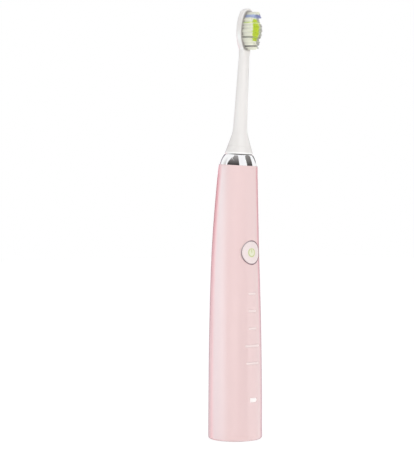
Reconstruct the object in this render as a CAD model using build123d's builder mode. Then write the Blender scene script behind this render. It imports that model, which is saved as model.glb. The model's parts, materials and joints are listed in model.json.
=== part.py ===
from build123d import *
from math import cos, hypot, radians, sin
import os

os.makedirs("parts", exist_ok=True)

# Electric toothbrush standing on its foot, in millimetres and degrees.
# +Z is up, the front with the button and the bristles faces -Y,
# and the origin is the middle of the foot on the floor.

# Handle form
HANDLE_LENGTH = 160.0
BASE_RADIUS = 15.7
TOP_RADIUS = 11.2
TAPER_POWER = 2.3
BEND_START = 92.0
LEAN = 4.5
SHELL_WALL = 1.7
FOOT_EDGE = 1.2
TOP_EDGE = 0.5
FORM_SPANS = 8

# Foot
CAP_PROUD = 0.4
CAP_HEIGHT = 6.0
MOUTH_DEPTH = 8.0
RING_SECTION = 0.7
RING_HEIGHT = 3.6

# Collar
COLLAR_HEIGHT = 5.6
COLLAR_SKIRT = 0.4
COLLAR_SLOPE = 8.0
COLLAR_TOP_RADIUS = 8.3
COLLAR_BORE = 5.6
SPIGOT_DEPTH = 4.0

# Button on the front
BUTTON_HEIGHT = 108.7
BUTTON_RADIUS = 6.4
BUTTON_GAP = 0.1
BUTTON_PROUD = 0.15
BUTTON_FLATNESS = 1.12
BUTTON_TRAVEL = 0.4
BUTTON_SEAL = 0.4
BEZEL_WIDTH = 0.7
BEZEL_PROUD = 0.1
BEZEL_LIP = 0.35
ICON_RADIUS = 2.3
ICON_STROKE = 0.7
ICON_DEPTH = 0.8
ICON_BAR = 2.6
ICON_GAP = 1.75

# Light marks on the front
MODE_TOP = 85.0
MODE_PITCH = 10.0
MODE_TALL = 1.3
MODE_WIDTHS = [5.6, 5.9, 5.9, 10.8, 9.6]
GAUGE_HEIGHT = 23.9
GAUGE_WIDTH = 4.4
GAUGE_TALL = 2.4
GAUGE_NUB = 0.6

# Circuit board
BOARD_STACK = 3.6
BOARD = 1.2
BOARD_WIDTH = 14.0
BOARD_CLEAR = 1.0
BOARD_OVER_BUTTON = 9.5
LAMP = 0.6
LAMP_WIDTH = 1.6
LAMP_TALL = 0.9
LAMP_GAP = 0.1
SWITCH_WIDTH = 3.6
SWITCH_FLOOR = 0.15
SWITCH_PLAY = 0.1
PLUNGER_RADIUS = 0.8
PLUNGER_SINK = 0.25
PLUNGER_REACH = 0.5
CHIP = 0.9
CHIP_WIDTHS = [4.0, 6.0, 5.0]

# Charging coil
BOBBIN_HEIGHT = 14.0
BOBBIN_RADIUS = 10.8
BOBBIN_FLANGE = 1.0
BOBBIN_WALL = 2.0
CORE_RADIUS = 5.0
COIL_RIM = 0.6

# Chassis and cell
CHASSIS_GAP = 0.5
CHASSIS_WALL = 2.2
BULKHEAD = 2.0
SEAT_DEPTH = 4.0
WIRE_HOLE = 3.0
CELL_RADIUS = 7.0
CELL_LENGTH = 50.0
CELL_CLEAR = 0.9
TAB = 0.3
TAB_WIDTH = 5.0
TAB_LENGTH = 8.0

# Drive
FRAME_WALL = 0.8
FRAME_ROOM = 0.35
FRAME_LENGTH = 52.0
FRAME_TOP = 3.0
END_PLATE = 2.0
BUSH_WALL = 2.0
BUSH_LENGTH = 6.0
BOSS_WALL = 1.2
SHAFT_RADIUS = 2.0
SHAFT_TOP = 26.0
SHAFT_FLAT = 1.5
FLAT_LENGTH = 16.0
ROTOR_TOP = -26.0
ROTOR_LENGTH = 14.0
ROTOR_WIDTH = 8.4
ROTOR_FRONT = 2.8
ROTOR_BACK = 5.0
MAGNET = 2.0
MAGNET_SPLIT = 0.4
AIR_GAP = 0.6
LEG_WIDTH = 1.5
CENTRE_LEG = 2.2
CORE_YOKE = 3.0
COIL_WIND = 1.1
COIL_CLEAR = 2.0
ROD_RADIUS = 0.9
ROD_GAP = 0.2
ROD_SINK = 1.5
SEAL_SINK = 1.0
SEAL_LIP = 1.2
SEAL_SLOPE = 0.8

# Brush head
HEAD_GAP = 0.3
ID_RING_HEIGHT = 4.5
ID_RING_WALL = 1.0
NECK_WAIST_RADIUS = 4.05
NECK_WAIST = 18.6
NECK_TOP_RADIUS = 2.75
NECK_BLEND = 28.0
HEAD_CENTRE = 78.0
HEAD_HALF_WIDTH = 6.0
HEAD_HALF_LENGTH = 12.1
HEAD_FACE = 2.4
HEAD_THICKNESS = 5.4
HEAD_BACK_EDGE = 2.4
HEAD_FACE_EDGE = 0.5
SOCKET_FOOT_RADIUS = 4.6
SOCKET_FOOT = 5.0
SOCKET_WALL = 0.9
SOCKET_END_GAP = 0.5
SOCKET_CROWN = 1.0
SOCKET_RISE = 0.5

# Bristles: rows named by the height above the head's middle at which they start
FIELD_RIM = 1.3
FIELD_TIP_RIM = 2.1
FIELD_FOOT_RIM = 0.6
BACKING = 0.8
STRAND = 0.38
STRAND_PITCH = 0.56
STRAND_LENGTH = 7.2
TIP_ROW = 8.2
TIP_EXTRA = 0.8
BLUE_ROW = 6.5
BLUE_EXTRA = -0.2
UPPER_ROW = 4.0
UPPER_EXTRA = -1.8
MIDDLE_ROW = -4.65
LOWER_ROW = -9.65
LOWER_EXTRA = -1.8
FOOT_EXTRA = 0.4
ROW_GAP = 0.4
GREEN_HALF_WIDTH = 2.9
GREEN_HALF_LENGTH = 6.3
GREEN_EXTRA = -0.8

# Clearances
FIT = 0.05
RUN = 0.03


# Handle centreline: upright, then bent forward on an arc to the shaft axis
bend_radius = (HANDLE_LENGTH - BEND_START) / radians(LEAN)


def centreline(s):
    """Plane square to the centreline at the length s above the floor."""
    turn = max(0.0, (s - BEND_START) / bend_radius)
    y = -bend_radius * (1 - cos(turn))
    z = min(s, BEND_START) + bend_radius * sin(turn)
    return Plane(origin=(0, y, z), x_dir=(1, 0, 0), z_dir=(0, -sin(turn), cos(turn)))


def outer_radius(s):
    """Outside radius of the handle at the length s of its centreline."""
    return BASE_RADIUS - (BASE_RADIUS - TOP_RADIUS) * (s / HANDLE_LENGTH) ** TAPER_POWER


def inner_radius(s):
    """Inside radius of the shell at the length s of its centreline."""
    return outer_radius(s) - SHELL_WALL


def front(depth):
    """Upright plane in front of the handle's axis, facing forward."""
    return Plane.XZ.offset(depth)


# Shaft frame: origin on the collar's seat, z along the shaft
shaft = centreline(HANDLE_LENGTH)
shaft_axis = Axis(shaft.origin, shaft.z_dir)
half_section = Plane(origin=shaft.origin, x_dir=shaft.x_dir, z_dir=-shaft.y_dir)

# Heights along the shaft, below and above the collar's seat
frame_top = -SPIGOT_DEPTH
frame_foot = frame_top - FRAME_LENGTH
seat_level = frame_foot - END_PLATE
bush_foot = frame_top - BUSH_LENGTH
rotor_foot = ROTOR_TOP - ROTOR_LENGTH
magnet_foot = rotor_foot - MAGNET
pole_top = magnet_foot - AIR_GAP
head_foot = COLLAR_HEIGHT + HEAD_GAP
ring_top = head_foot + ID_RING_HEIGHT
socket_foot = head_foot + SOCKET_RISE
socket_end = SHAFT_TOP + SOCKET_END_GAP
socket_top = socket_end + SOCKET_CROWN

# Radii around the shaft
bush_radius = SHAFT_RADIUS + BUSH_WALL
boss_radius = bush_radius + BOSS_WALL
socket_radius = SHAFT_RADIUS + SOCKET_WALL
frame_bore = hypot(ROTOR_WIDTH / 2, ROTOR_BACK) + FRAME_ROOM
frame_radius = frame_bore + FRAME_WALL

# The chassis slides in through the mouth in the foot, up to the drive's seat
seat_station = HANDLE_LENGTH + seat_level
chassis_radius = inner_radius(seat_station) - CHASSIS_GAP
mouth_radius = chassis_radius + CHASSIS_GAP
cap_radius = mouth_radius - FIT

# Depths in front of the axis, from the circuit board out to the button
board_front = inner_radius(BUTTON_HEIGHT) - BOARD_STACK
board_back = board_front - BOARD
board_top = BUTTON_HEIGHT + BOARD_OVER_BUTTON
guide_back = board_front + LAMP + LAMP_GAP
switch_body = SWITCH_FLOOR + SWITCH_PLAY + BUTTON_TRAVEL + PLUNGER_SINK
switch_front = board_front + switch_body
seal_back = switch_front + PLUNGER_REACH
lip_back = seal_back + BUTTON_SEAL
bezel_back = seal_back - BUTTON_TRAVEL - SWITCH_PLAY
front_reach = 2 * BASE_RADIUS
button_bore = BUTTON_RADIUS + BUTTON_GAP
seal_bore = button_bore + BEZEL_LIP
bezel_radius = button_bore + BEZEL_WIDTH
mode_heights = [MODE_TOP - i * MODE_PITCH for i in range(len(MODE_WIDTHS))]

# Heights from the foot up to the cell
bobbin_top = CAP_HEIGHT + BOBBIN_HEIGHT
tab_foot = bobbin_top + BULKHEAD
cell_foot = tab_foot + TAB
cell_top = cell_foot + CELL_LENGTH
tab_top = cell_top + TAB
cell_back = CELL_RADIUS + CELL_CLEAR + CHIP - board_back
board_foot = bobbin_top + BOARD_CLEAR

# The cell's cradle has one bay for each chip, with a rib between bays
bays = len(CHIP_WIDTHS)
bay = CELL_LENGTH / bays
chip_heights = [cell_foot + bay * (i + 0.5) for i in range(bays)]
rib_heights = [cell_foot + bay * i - BULKHEAD / 2 for i in range(1, bays)]


# Solid outside form of the handle, used to trim what lies flush with it
shell_length = HANDLE_LENGTH - COLLAR_SKIRT
with BuildPart() as handle_form:
    for i in range(FORM_SPANS + 1):
        s = CAP_PROUD + (shell_length - CAP_PROUD) * i / FORM_SPANS
        with BuildSketch(centreline(s)):
            Circle(outer_radius(s))
    loft()
    fillet(handle_form.faces().sort_by(Axis.Z)[0].edges(), FOOT_EDGE)
    fillet(handle_form.faces().sort_by(Axis.Z)[-1].edges(), TOP_EDGE)


def gauge_outline(grow):
    """Battery symbol, lying on its side, grown by a clearance."""
    with Locations((-GAUGE_NUB / 2, 0)):
        Rectangle(GAUGE_WIDTH + 2 * grow, GAUGE_TALL + 2 * grow)
    with Locations((GAUGE_WIDTH / 2, 0)):
        Rectangle(GAUGE_NUB + 2 * grow, GAUGE_TALL / 2 + 2 * grow)


# Handle shell: tapered tube with its mouth in the foot
with BuildPart() as handle_shell:
    add(handle_form.part)
    for i in range(FORM_SPANS + 1):
        s = MOUTH_DEPTH + (HANDLE_LENGTH - MOUTH_DEPTH) * i / FORM_SPANS
        with BuildSketch(centreline(s)):
            Circle(inner_radius(s))
    loft(mode=Mode.SUBTRACT)
    with BuildSketch(Plane.XY):
        Circle(mouth_radius)
    extrude(amount=MOUTH_DEPTH + FIT, mode=Mode.SUBTRACT)
    with BuildSketch(front(bezel_back)):
        with Locations((0, BUTTON_HEIGHT)):
            Circle(bezel_radius + FIT)
    extrude(amount=front_reach, mode=Mode.SUBTRACT)
    with BuildSketch(front(guide_back)):
        for width, height in zip(MODE_WIDTHS, mode_heights):
            with Locations((0, height)):
                SlotOverall(width + 2 * FIT, MODE_TALL + 2 * FIT)
        with Locations((0, GAUGE_HEIGHT)):
            gauge_outline(FIT)
    extrude(amount=front_reach, mode=Mode.SUBTRACT)

# Base cap: plug in the mouth, with a groove for the sealing ring
groove_radius = mouth_radius - 2 * RING_SECTION
with BuildPart() as base_cap:
    with BuildSketch(Plane.XY):
        Circle(cap_radius)
    extrude(amount=CAP_HEIGHT)
    with BuildSketch(Plane.XY.offset(RING_HEIGHT - RING_SECTION)):
        Circle(mouth_radius)
        Circle(groove_radius, mode=Mode.SUBTRACT)
    extrude(amount=2 * RING_SECTION, mode=Mode.SUBTRACT)

# Sealing ring between the cap and the mouth
with BuildPart() as base_seal:
    with BuildSketch(Plane.XZ):
        with Locations((mouth_radius - RING_SECTION, RING_HEIGHT)):
            Circle(RING_SECTION - FIT / 2)
    revolve(axis=Axis.Z)

# Collar: bright shoulder ring with a spigot inside the shell
spigot_radius = inner_radius(HANDLE_LENGTH) - FIT
collar_radius = outer_radius(shell_length) - TOP_EDGE
collar_rise = (-sin(radians(COLLAR_SLOPE)), cos(radians(COLLAR_SLOPE)))
with BuildPart() as collar_ring:
    with BuildSketch(half_section):
        with BuildLine():
            shoulder = TangentArc(
                (collar_radius, -COLLAR_SKIRT), (COLLAR_TOP_RADIUS, COLLAR_HEIGHT), tangent=collar_rise
            )
            Polyline(
                shoulder @ 1,
                (COLLAR_BORE, COLLAR_HEIGHT),
                (COLLAR_BORE, -SPIGOT_DEPTH),
                (spigot_radius, -SPIGOT_DEPTH),
                (spigot_radius, -COLLAR_SKIRT),
                shoulder @ 0,
            )
        make_face()
    revolve(axis=shaft_axis)

# Shaft seal: rubber cup in the collar's bore, with a lip above and below
cup_radius = COLLAR_BORE - FIT
lip_radius = SHAFT_RADIUS + FIT
cup_top = COLLAR_HEIGHT - SEAL_SINK
with BuildPart() as shaft_seal:
    with BuildSketch(half_section):
        with BuildLine():
            Polyline(
                (cup_radius, frame_top),
                (cup_radius, cup_top - SEAL_LIP - SEAL_SLOPE),
                (cup_radius - SEAL_LIP, cup_top),
                (lip_radius, cup_top),
                (lip_radius, cup_top - SEAL_LIP),
                (lip_radius + SEAL_LIP, cup_top - SEAL_LIP - SEAL_SLOPE),
                (lip_radius + SEAL_LIP, frame_top + SEAL_LIP + SEAL_SLOPE),
                (lip_radius, frame_top + SEAL_LIP),
                (lip_radius, frame_top),
                close=True,
            )
        make_face()
    revolve(axis=shaft_axis)

# The button's face follows the handle's front upwards, and is flatter across it
face_form = scale(handle_form.part, by=(BUTTON_FLATNESS, 1, 1))

# Bezel around the button, with a lip that holds the button's seal back
with BuildPart() as button_bezel:
    with BuildSketch(front(bezel_back)):
        with Locations((0, BUTTON_HEIGHT)):
            Circle(bezel_radius)
            Circle(button_bore, mode=Mode.SUBTRACT)
    extrude(amount=front_reach)
    with BuildSketch(front(bezel_back)):
        with Locations((0, BUTTON_HEIGHT)):
            Circle(seal_bore)
    extrude(amount=lip_back - bezel_back, mode=Mode.SUBTRACT)
    add(face_form.moved(Location((0, -BEZEL_PROUD, 0))), mode=Mode.INTERSECT)

# Rubber seal behind the button, running in the bezel
with BuildPart() as button_seal:
    with BuildSketch(front(seal_back)):
        with Locations((0, BUTTON_HEIGHT)):
            Circle(seal_bore - RUN)
    extrude(amount=BUTTON_SEAL)

# Faces of the button and of the floor under its symbol
button_form = face_form.moved(Location((0, -BUTTON_PROUD, 0)))
icon_form = face_form.moved(Location((0, ICON_DEPTH, 0)))

# Power symbol: clear inlay in the button's face, an open ring with a bar in its gap
with BuildPart() as power_icon:
    with BuildSketch(front(lip_back)):
        with Locations((0, BUTTON_HEIGHT)):
            Circle(ICON_RADIUS + ICON_STROKE / 2)
            Circle(ICON_RADIUS - ICON_STROKE / 2, mode=Mode.SUBTRACT)
        with Locations((0, BUTTON_HEIGHT + ICON_RADIUS)):
            Rectangle(ICON_GAP, 2 * ICON_STROKE, mode=Mode.SUBTRACT)
        with Locations((0, BUTTON_HEIGHT)):
            Rectangle(ICON_STROKE, ICON_BAR, align=(Align.CENTER, Align.MIN))
    extrude(amount=front_reach)
    add(button_form, mode=Mode.INTERSECT)
    add(icon_form, mode=Mode.SUBTRACT)

# Power button
with BuildPart() as power_button:
    with BuildSketch(front(lip_back)):
        with Locations((0, BUTTON_HEIGHT)):
            Circle(BUTTON_RADIUS)
    extrude(amount=front_reach)
    add(button_form, mode=Mode.INTERSECT)
    add(power_icon.part, mode=Mode.SUBTRACT)

# Switch plunger behind the button's seal
with BuildPart() as switch_plunger:
    with BuildSketch(front(switch_front - PLUNGER_SINK)):
        with Locations((0, BUTTON_HEIGHT)):
            Circle(PLUNGER_RADIUS)
    extrude(amount=PLUNGER_SINK + PLUNGER_REACH)

# Switch body on the circuit board, with a well for the plunger
with BuildPart() as tact_switch:
    with BuildSketch(front(board_front)):
        with Locations((0, BUTTON_HEIGHT)):
            Rectangle(SWITCH_WIDTH, SWITCH_WIDTH)
    extrude(amount=switch_body)
    with BuildSketch(front(board_front + SWITCH_FLOOR)):
        with Locations((0, BUTTON_HEIGHT)):
            Circle(PLUNGER_RADIUS + FIT)
    extrude(amount=switch_body, mode=Mode.SUBTRACT)

# Mode marks: clear guides from the lamps to the shell's face
with BuildPart() as mode_lights:
    with BuildSketch(front(guide_back)):
        for width, height in zip(MODE_WIDTHS, mode_heights):
            with Locations((0, height)):
                SlotOverall(width, MODE_TALL)
    extrude(amount=front_reach)
    add(handle_form.part, mode=Mode.INTERSECT)

# Battery mark: clear guide near the foot
with BuildPart() as battery_light:
    with BuildSketch(front(guide_back)):
        with Locations((0, GAUGE_HEIGHT)):
            gauge_outline(0)
    extrude(amount=front_reach)
    add(handle_form.part, mode=Mode.INTERSECT)

# Circuit board against the chassis
with BuildPart() as circuit_board:
    with BuildSketch(front(board_back)):
        with Locations((0, board_foot)):
            Rectangle(BOARD_WIDTH, board_top - board_foot, align=(Align.CENTER, Align.MIN))
    extrude(amount=BOARD)

# Indicator lamps on the board's front, two of them beside the switch
with BuildPart() as board_lamps:
    with BuildSketch(front(board_front)):
        with Locations(*[(0, height) for height in mode_heights], (0, GAUGE_HEIGHT)):
            Rectangle(LAMP_WIDTH, LAMP_TALL)
        with Locations((-SWITCH_WIDTH, BUTTON_HEIGHT), (SWITCH_WIDTH, BUTTON_HEIGHT)):
            Rectangle(LAMP_WIDTH, LAMP_TALL)
    extrude(amount=LAMP)

# Chips on the board's back
with BuildPart() as board_chips:
    with BuildSketch(front(board_back)):
        for width, height in zip(CHIP_WIDTHS, chip_heights):
            with Locations((0, height)):
                Rectangle(width, width)
    extrude(amount=-CHIP)

# Bobbin of the charging coil, standing on the base cap
tube_radius = CORE_RADIUS + FIT + BOBBIN_WALL
with BuildPart() as charge_bobbin:
    with BuildSketch(Plane.XY.offset(CAP_HEIGHT)):
        Circle(tube_radius)
    extrude(amount=BOBBIN_HEIGHT)
    with BuildSketch(Plane.XY.offset(CAP_HEIGHT), Plane.XY.offset(bobbin_top - BOBBIN_FLANGE)):
        Circle(BOBBIN_RADIUS)
    extrude(amount=BOBBIN_FLANGE)
    with BuildSketch(Plane.XY.offset(CAP_HEIGHT)):
        Circle(CORE_RADIUS + FIT)
    extrude(amount=BOBBIN_HEIGHT, mode=Mode.SUBTRACT)

# Charging coil wound on the bobbin
with BuildPart() as charge_coil:
    with BuildSketch(Plane.XY.offset(CAP_HEIGHT + BOBBIN_FLANGE)):
        Circle(BOBBIN_RADIUS - COIL_RIM)
        Circle(tube_radius, mode=Mode.SUBTRACT)
    extrude(amount=BOBBIN_HEIGHT - 2 * BOBBIN_FLANGE)

# Ferrite core inside the bobbin
with BuildPart() as charge_core:
    with BuildSketch(Plane.XY.offset(CAP_HEIGHT)):
        Circle(CORE_RADIUS)
    extrude(amount=BOBBIN_HEIGHT)

# Chassis: open trough with a cradle for the cell and a sloped seat for the drive
seat = shaft.offset(seat_level)
with BuildPart() as chassis:
    with BuildSketch(Plane.XY.offset(bobbin_top)):
        Circle(chassis_radius)
        Circle(chassis_radius - CHASSIS_WALL, mode=Mode.SUBTRACT)
    extrude(amount=HANDLE_LENGTH)
    with BuildSketch(Plane.XY.offset(bobbin_top), Plane.XY.offset(tab_top)):
        Circle(chassis_radius)
    extrude(amount=BULKHEAD)
    with BuildSketch(*[Plane.XY.offset(height) for height in rib_heights]):
        Circle(chassis_radius)
        with Locations((0, cell_back)):
            Circle(CELL_RADIUS + FIT, mode=Mode.SUBTRACT)
    extrude(amount=BULKHEAD)
    with BuildSketch(Plane.XY.offset(seat.origin.Z - SEAT_DEPTH)):
        Circle(chassis_radius)
        with Locations((0, seat.origin.Y)):
            Circle(WIRE_HOLE, mode=Mode.SUBTRACT)
    extrude(amount=HANDLE_LENGTH)
    split(bisect_by=seat, keep=Keep.BOTTOM)
    with BuildSketch(front(board_back)):
        Rectangle(4 * BASE_RADIUS, 2 * HANDLE_LENGTH)
    extrude(amount=front_reach, mode=Mode.SUBTRACT)

# Battery cell in the cradle
with BuildPart() as battery_cell:
    with BuildSketch(Plane.XY.offset(cell_foot)):
        with Locations((0, cell_back)):
            Circle(CELL_RADIUS)
    extrude(amount=CELL_LENGTH)

# Metal tabs on both ends of the cell
with BuildPart() as battery_tabs:
    with BuildSketch(Plane.XY.offset(tab_foot), Plane.XY.offset(cell_top)):
        with Locations((0, cell_back)):
            Rectangle(TAB_WIDTH, TAB_LENGTH)
    extrude(amount=TAB)

# Drive frame: cup under the collar that holds the front bush, with a flat for the board's top
with BuildPart() as drive_frame:
    with BuildSketch(shaft.offset(frame_foot)):
        Circle(frame_radius)
    extrude(amount=FRAME_LENGTH)
    with BuildSketch(shaft.offset(frame_foot)):
        Circle(frame_bore)
    extrude(amount=FRAME_LENGTH - FRAME_TOP, mode=Mode.SUBTRACT)
    with BuildSketch(shaft.offset(bush_foot)):
        Circle(boss_radius)
    extrude(amount=BUSH_LENGTH)
    with BuildSketch(shaft.offset(bush_foot)):
        Circle(bush_radius)
    extrude(amount=BUSH_LENGTH, mode=Mode.SUBTRACT)
    with BuildSketch(front(board_back - FRAME_ROOM)):
        with Locations((0, board_top + BOARD_CLEAR)):
            Rectangle(4 * BASE_RADIUS, HANDLE_LENGTH, align=(Align.CENTER, Align.MAX))
    extrude(amount=front_reach, mode=Mode.SUBTRACT)

# Front bush
with BuildPart() as front_bush:
    with BuildSketch(shaft.offset(bush_foot)):
        Circle(bush_radius)
        Circle(SHAFT_RADIUS + RUN, mode=Mode.SUBTRACT)
    extrude(amount=BUSH_LENGTH)

# End plate of the drive, resting on the chassis seat
with BuildPart() as end_plate:
    with BuildSketch(shaft.offset(seat_level)):
        Circle(frame_radius)
        Circle(ROD_RADIUS + RUN, mode=Mode.SUBTRACT)
    extrude(amount=END_PLATE)

# Stator core: three legs on a yoke, behind the shaft axis
pole_depth = ROTOR_BACK - COIL_WIND - ROD_GAP - ROD_RADIUS
pole_mid = ROTOR_BACK - pole_depth / 2
leg_mid = ROTOR_WIDTH / 2 - LEG_WIDTH / 2
with BuildPart() as stator_core:
    with BuildSketch(shaft.offset(frame_foot)):
        with Locations((0, pole_mid)):
            Rectangle(ROTOR_WIDTH, pole_depth)
    extrude(amount=CORE_YOKE)
    with BuildSketch(shaft.offset(frame_foot)):
        with Locations((-leg_mid, pole_mid), (leg_mid, pole_mid)):
            Rectangle(LEG_WIDTH, pole_depth)
        with Locations((0, pole_mid)):
            Rectangle(CENTRE_LEG, pole_depth)
    extrude(amount=pole_top - frame_foot)

# Stator coil around the centre leg
coil_width = ROTOR_WIDTH - 2 * LEG_WIDTH - 2 * FIT
with BuildPart() as stator_coil:
    with BuildSketch(shaft.offset(frame_foot + CORE_YOKE)):
        with Locations((0, pole_mid)):
            RectangleRounded(coil_width, pole_depth + 2 * COIL_WIND, COIL_WIND)
            Rectangle(CENTRE_LEG, pole_depth, mode=Mode.SUBTRACT)
    extrude(amount=pole_top - COIL_CLEAR - frame_foot - CORE_YOKE)

# Drive shaft with a flat that keys the brush head
with BuildPart() as drive_shaft:
    with BuildSketch(shaft.offset(rotor_foot)):
        Circle(SHAFT_RADIUS)
    extrude(amount=SHAFT_TOP - rotor_foot)
    with BuildSketch(shaft.offset(SHAFT_TOP - FLAT_LENGTH)):
        with Locations((0, -SHAFT_FLAT)):
            Rectangle(4 * SHAFT_RADIUS, SHAFT_RADIUS, align=(Align.CENTER, Align.MAX))
    extrude(amount=FLAT_LENGTH, mode=Mode.SUBTRACT)

# Rotor yoke on the shaft
with BuildPart() as rotor_yoke:
    with BuildSketch(shaft.offset(rotor_foot)):
        with Locations((0, (ROTOR_BACK - ROTOR_FRONT) / 2)):
            Rectangle(ROTOR_WIDTH, ROTOR_BACK + ROTOR_FRONT)
        Circle(SHAFT_RADIUS, mode=Mode.SUBTRACT)
    extrude(amount=ROTOR_LENGTH)

# Magnets under the yoke, over the stator's legs
magnet_width = (ROTOR_WIDTH - MAGNET_SPLIT) / 2
magnet_mid = (magnet_width + MAGNET_SPLIT) / 2
with BuildPart() as rotor_magnets:
    with BuildSketch(shaft.offset(magnet_foot)):
        with Locations((-magnet_mid, pole_mid), (magnet_mid, pole_mid)):
            Rectangle(magnet_width, pole_depth)
    extrude(amount=MAGNET)

# Torsion rod from the shaft's foot into the end plate
with BuildPart() as torsion_rod:
    with BuildSketch(shaft.offset(frame_foot - ROD_SINK)):
        Circle(ROD_RADIUS)
    extrude(amount=rotor_foot - frame_foot + ROD_SINK)

# Brush neck outline: straight flare into a slim taper
flare = (COLLAR_TOP_RADIUS - NECK_WAIST_RADIUS) / (NECK_WAIST - head_foot)
ring_top_radius = COLLAR_TOP_RADIUS - flare * ID_RING_HEIGHT
ring_bore = ring_top_radius - ID_RING_WALL
neck_top = HEAD_CENTRE - HEAD_HALF_LENGTH / 2

# Bristle face of the head, square to the shaft's front
face_origin = shaft.origin + shaft.z_dir * HEAD_CENTRE - shaft.y_dir * HEAD_FACE
head_face = Plane(origin=face_origin, x_dir=shaft.x_dir, z_dir=-shaft.y_dir)
tip_radius = HEAD_HALF_WIDTH**2 / HEAD_HALF_LENGTH
field_width = HEAD_HALF_WIDTH - FIELD_RIM
field_length = HEAD_HALF_LENGTH - (FIELD_TIP_RIM + FIELD_FOOT_RIM) / 2
field_middle = (FIELD_FOOT_RIM - FIELD_TIP_RIM) / 2

# Brush neck and head in one moulding
with BuildPart() as brush_neck:
    with BuildSketch(head_face):
        Ellipse(HEAD_HALF_WIDTH, HEAD_HALF_LENGTH)
    extrude(amount=-HEAD_THICKNESS)
    rims = brush_neck.edges().filter_by(GeomType.ELLIPSE).sort_by(Axis(face_origin, -shaft.y_dir))
    fillet(rims[0], min(HEAD_BACK_EDGE, 0.9 * tip_radius))
    rims = brush_neck.edges().filter_by(GeomType.ELLIPSE).sort_by(Axis(face_origin, -shaft.y_dir))
    fillet(rims[-1], HEAD_FACE_EDGE)
    with BuildSketch(half_section):
        with BuildLine():
            side = FilletPolyline(
                (ring_top_radius, ring_top),
                (NECK_WAIST_RADIUS, NECK_WAIST),
                (NECK_TOP_RADIUS, neck_top),
                radius=NECK_BLEND,
            )
            Polyline(
                side @ 1,
                (0, neck_top),
                (0, socket_foot),
                (ring_bore - FIT, socket_foot),
                (ring_bore - FIT, ring_top),
                side @ 0,
            )
        make_face()
    revolve(axis=shaft_axis)
    with BuildSketch(head_face):
        with Locations((0, -HEAD_HALF_LENGTH)):
            Rectangle(2 * HEAD_HALF_WIDTH, 2 * HEAD_HALF_LENGTH, align=(Align.CENTER, Align.MIN))
    extrude(amount=HEAD_FACE, mode=Mode.SUBTRACT)
    with BuildSketch(shaft.offset(socket_foot)):
        Circle(SOCKET_FOOT_RADIUS + FIT)
    extrude(amount=SOCKET_FOOT, mode=Mode.SUBTRACT)
    with BuildSketch(shaft.offset(socket_foot)):
        Circle(socket_radius + FIT)
    extrude(amount=socket_top - socket_foot, mode=Mode.SUBTRACT)
    with BuildSketch(head_face):
        with Locations((0, field_middle)):
            Ellipse(field_width + FIT, field_length + FIT)
    extrude(amount=-BACKING, mode=Mode.SUBTRACT)

# Ring at the foot of the neck
with BuildPart() as id_ring:
    with BuildSketch(half_section):
        with BuildLine():
            Polyline(
                (COLLAR_TOP_RADIUS, head_foot),
                (ring_top_radius, ring_top),
                (ring_bore, ring_top),
                (ring_bore, head_foot),
                close=True,
            )
        make_face()
    revolve(axis=shaft_axis)

# Coupling inside the neck, with a keyed bore for the shaft
key_foot = SHAFT_TOP - FLAT_LENGTH + HEAD_GAP
with BuildPart() as drive_coupling:
    with BuildSketch(shaft.offset(socket_foot)):
        Circle(SOCKET_FOOT_RADIUS)
    extrude(amount=SOCKET_FOOT)
    with BuildSketch(shaft.offset(socket_foot)):
        Circle(socket_radius)
    extrude(amount=socket_top - socket_foot)
    with BuildSketch(shaft.offset(socket_foot)):
        Circle(SHAFT_RADIUS + RUN)
    extrude(amount=socket_end - socket_foot, mode=Mode.SUBTRACT)
    with BuildSketch(shaft.offset(key_foot)):
        Circle(SHAFT_RADIUS + 2 * RUN)
        with Locations((0, -SHAFT_FLAT - RUN)):
            Rectangle(
                4 * SHAFT_RADIUS, SHAFT_RADIUS, align=(Align.CENTER, Align.MAX), mode=Mode.INTERSECT
            )
    extrude(amount=socket_end - key_foot)

# Bristles: colour and length by the place of the root


def bristle_colour(x, z):
    """Colour of the bristles at a point of the bristle face, or None where it is bare."""
    if (x / field_width) ** 2 + ((z - field_middle) / field_length) ** 2 > 1:
        return None
    if BLUE_ROW <= z <= TIP_ROW:
        return "blue"
    if (x / GREEN_HALF_WIDTH) ** 2 + (z / GREEN_HALF_LENGTH) ** 2 <= 1:
        return "green"
    if min(abs(z - UPPER_ROW), abs(z - MIDDLE_ROW), abs(z - LOWER_ROW)) < ROW_GAP:
        return None
    return "white"


def strand_length(colour, z):
    """Length of the bristles of a colour in the row at the height z above the head's middle."""
    if colour == "green" and MIDDLE_ROW < z < UPPER_ROW:
        return STRAND_LENGTH + GREEN_EXTRA
    if z > TIP_ROW:
        return STRAND_LENGTH + TIP_EXTRA
    if z > BLUE_ROW:
        return STRAND_LENGTH + BLUE_EXTRA
    if z > UPPER_ROW:
        return STRAND_LENGTH + UPPER_EXTRA
    if z > MIDDLE_ROW:
        return STRAND_LENGTH
    if z > LOWER_ROW:
        return STRAND_LENGTH + LOWER_EXTRA * (z - LOWER_ROW) / (MIDDLE_ROW - LOWER_ROW)
    return STRAND_LENGTH + FOOT_EXTRA


# Bristle roots: a staggered grid over the oval field
root_reach = STRAND / 2 + 2 * FIT
rows = int(field_length / STRAND_PITCH)
columns = int(field_width / STRAND_PITCH)
strands = {"white": [], "green": [], "blue": []}
for j in range(-rows, rows + 1):
    for i in range(-columns - 1, columns + 1):
        x = (i + 0.5 * (j % 2)) * STRAND_PITCH
        z = field_middle + j * STRAND_PITCH
        corners = {
            bristle_colour(x + across * root_reach, z + along * root_reach)
            for across in (-1, 1)
            for along in (-1, 1)
        }
        colour = corners.pop()
        if colour and not corners:
            length = strand_length(colour, z)
            strand = Box(STRAND, STRAND, length, align=(Align.CENTER, Align.CENTER, Align.MIN))
            strands[colour].append(head_face * Pos(x, z, 0) * strand)

# Backing planes of the bristles, in the pocket of the head
backing = head_face.offset(-BACKING)
band_tall = TIP_ROW - BLUE_ROW

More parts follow.
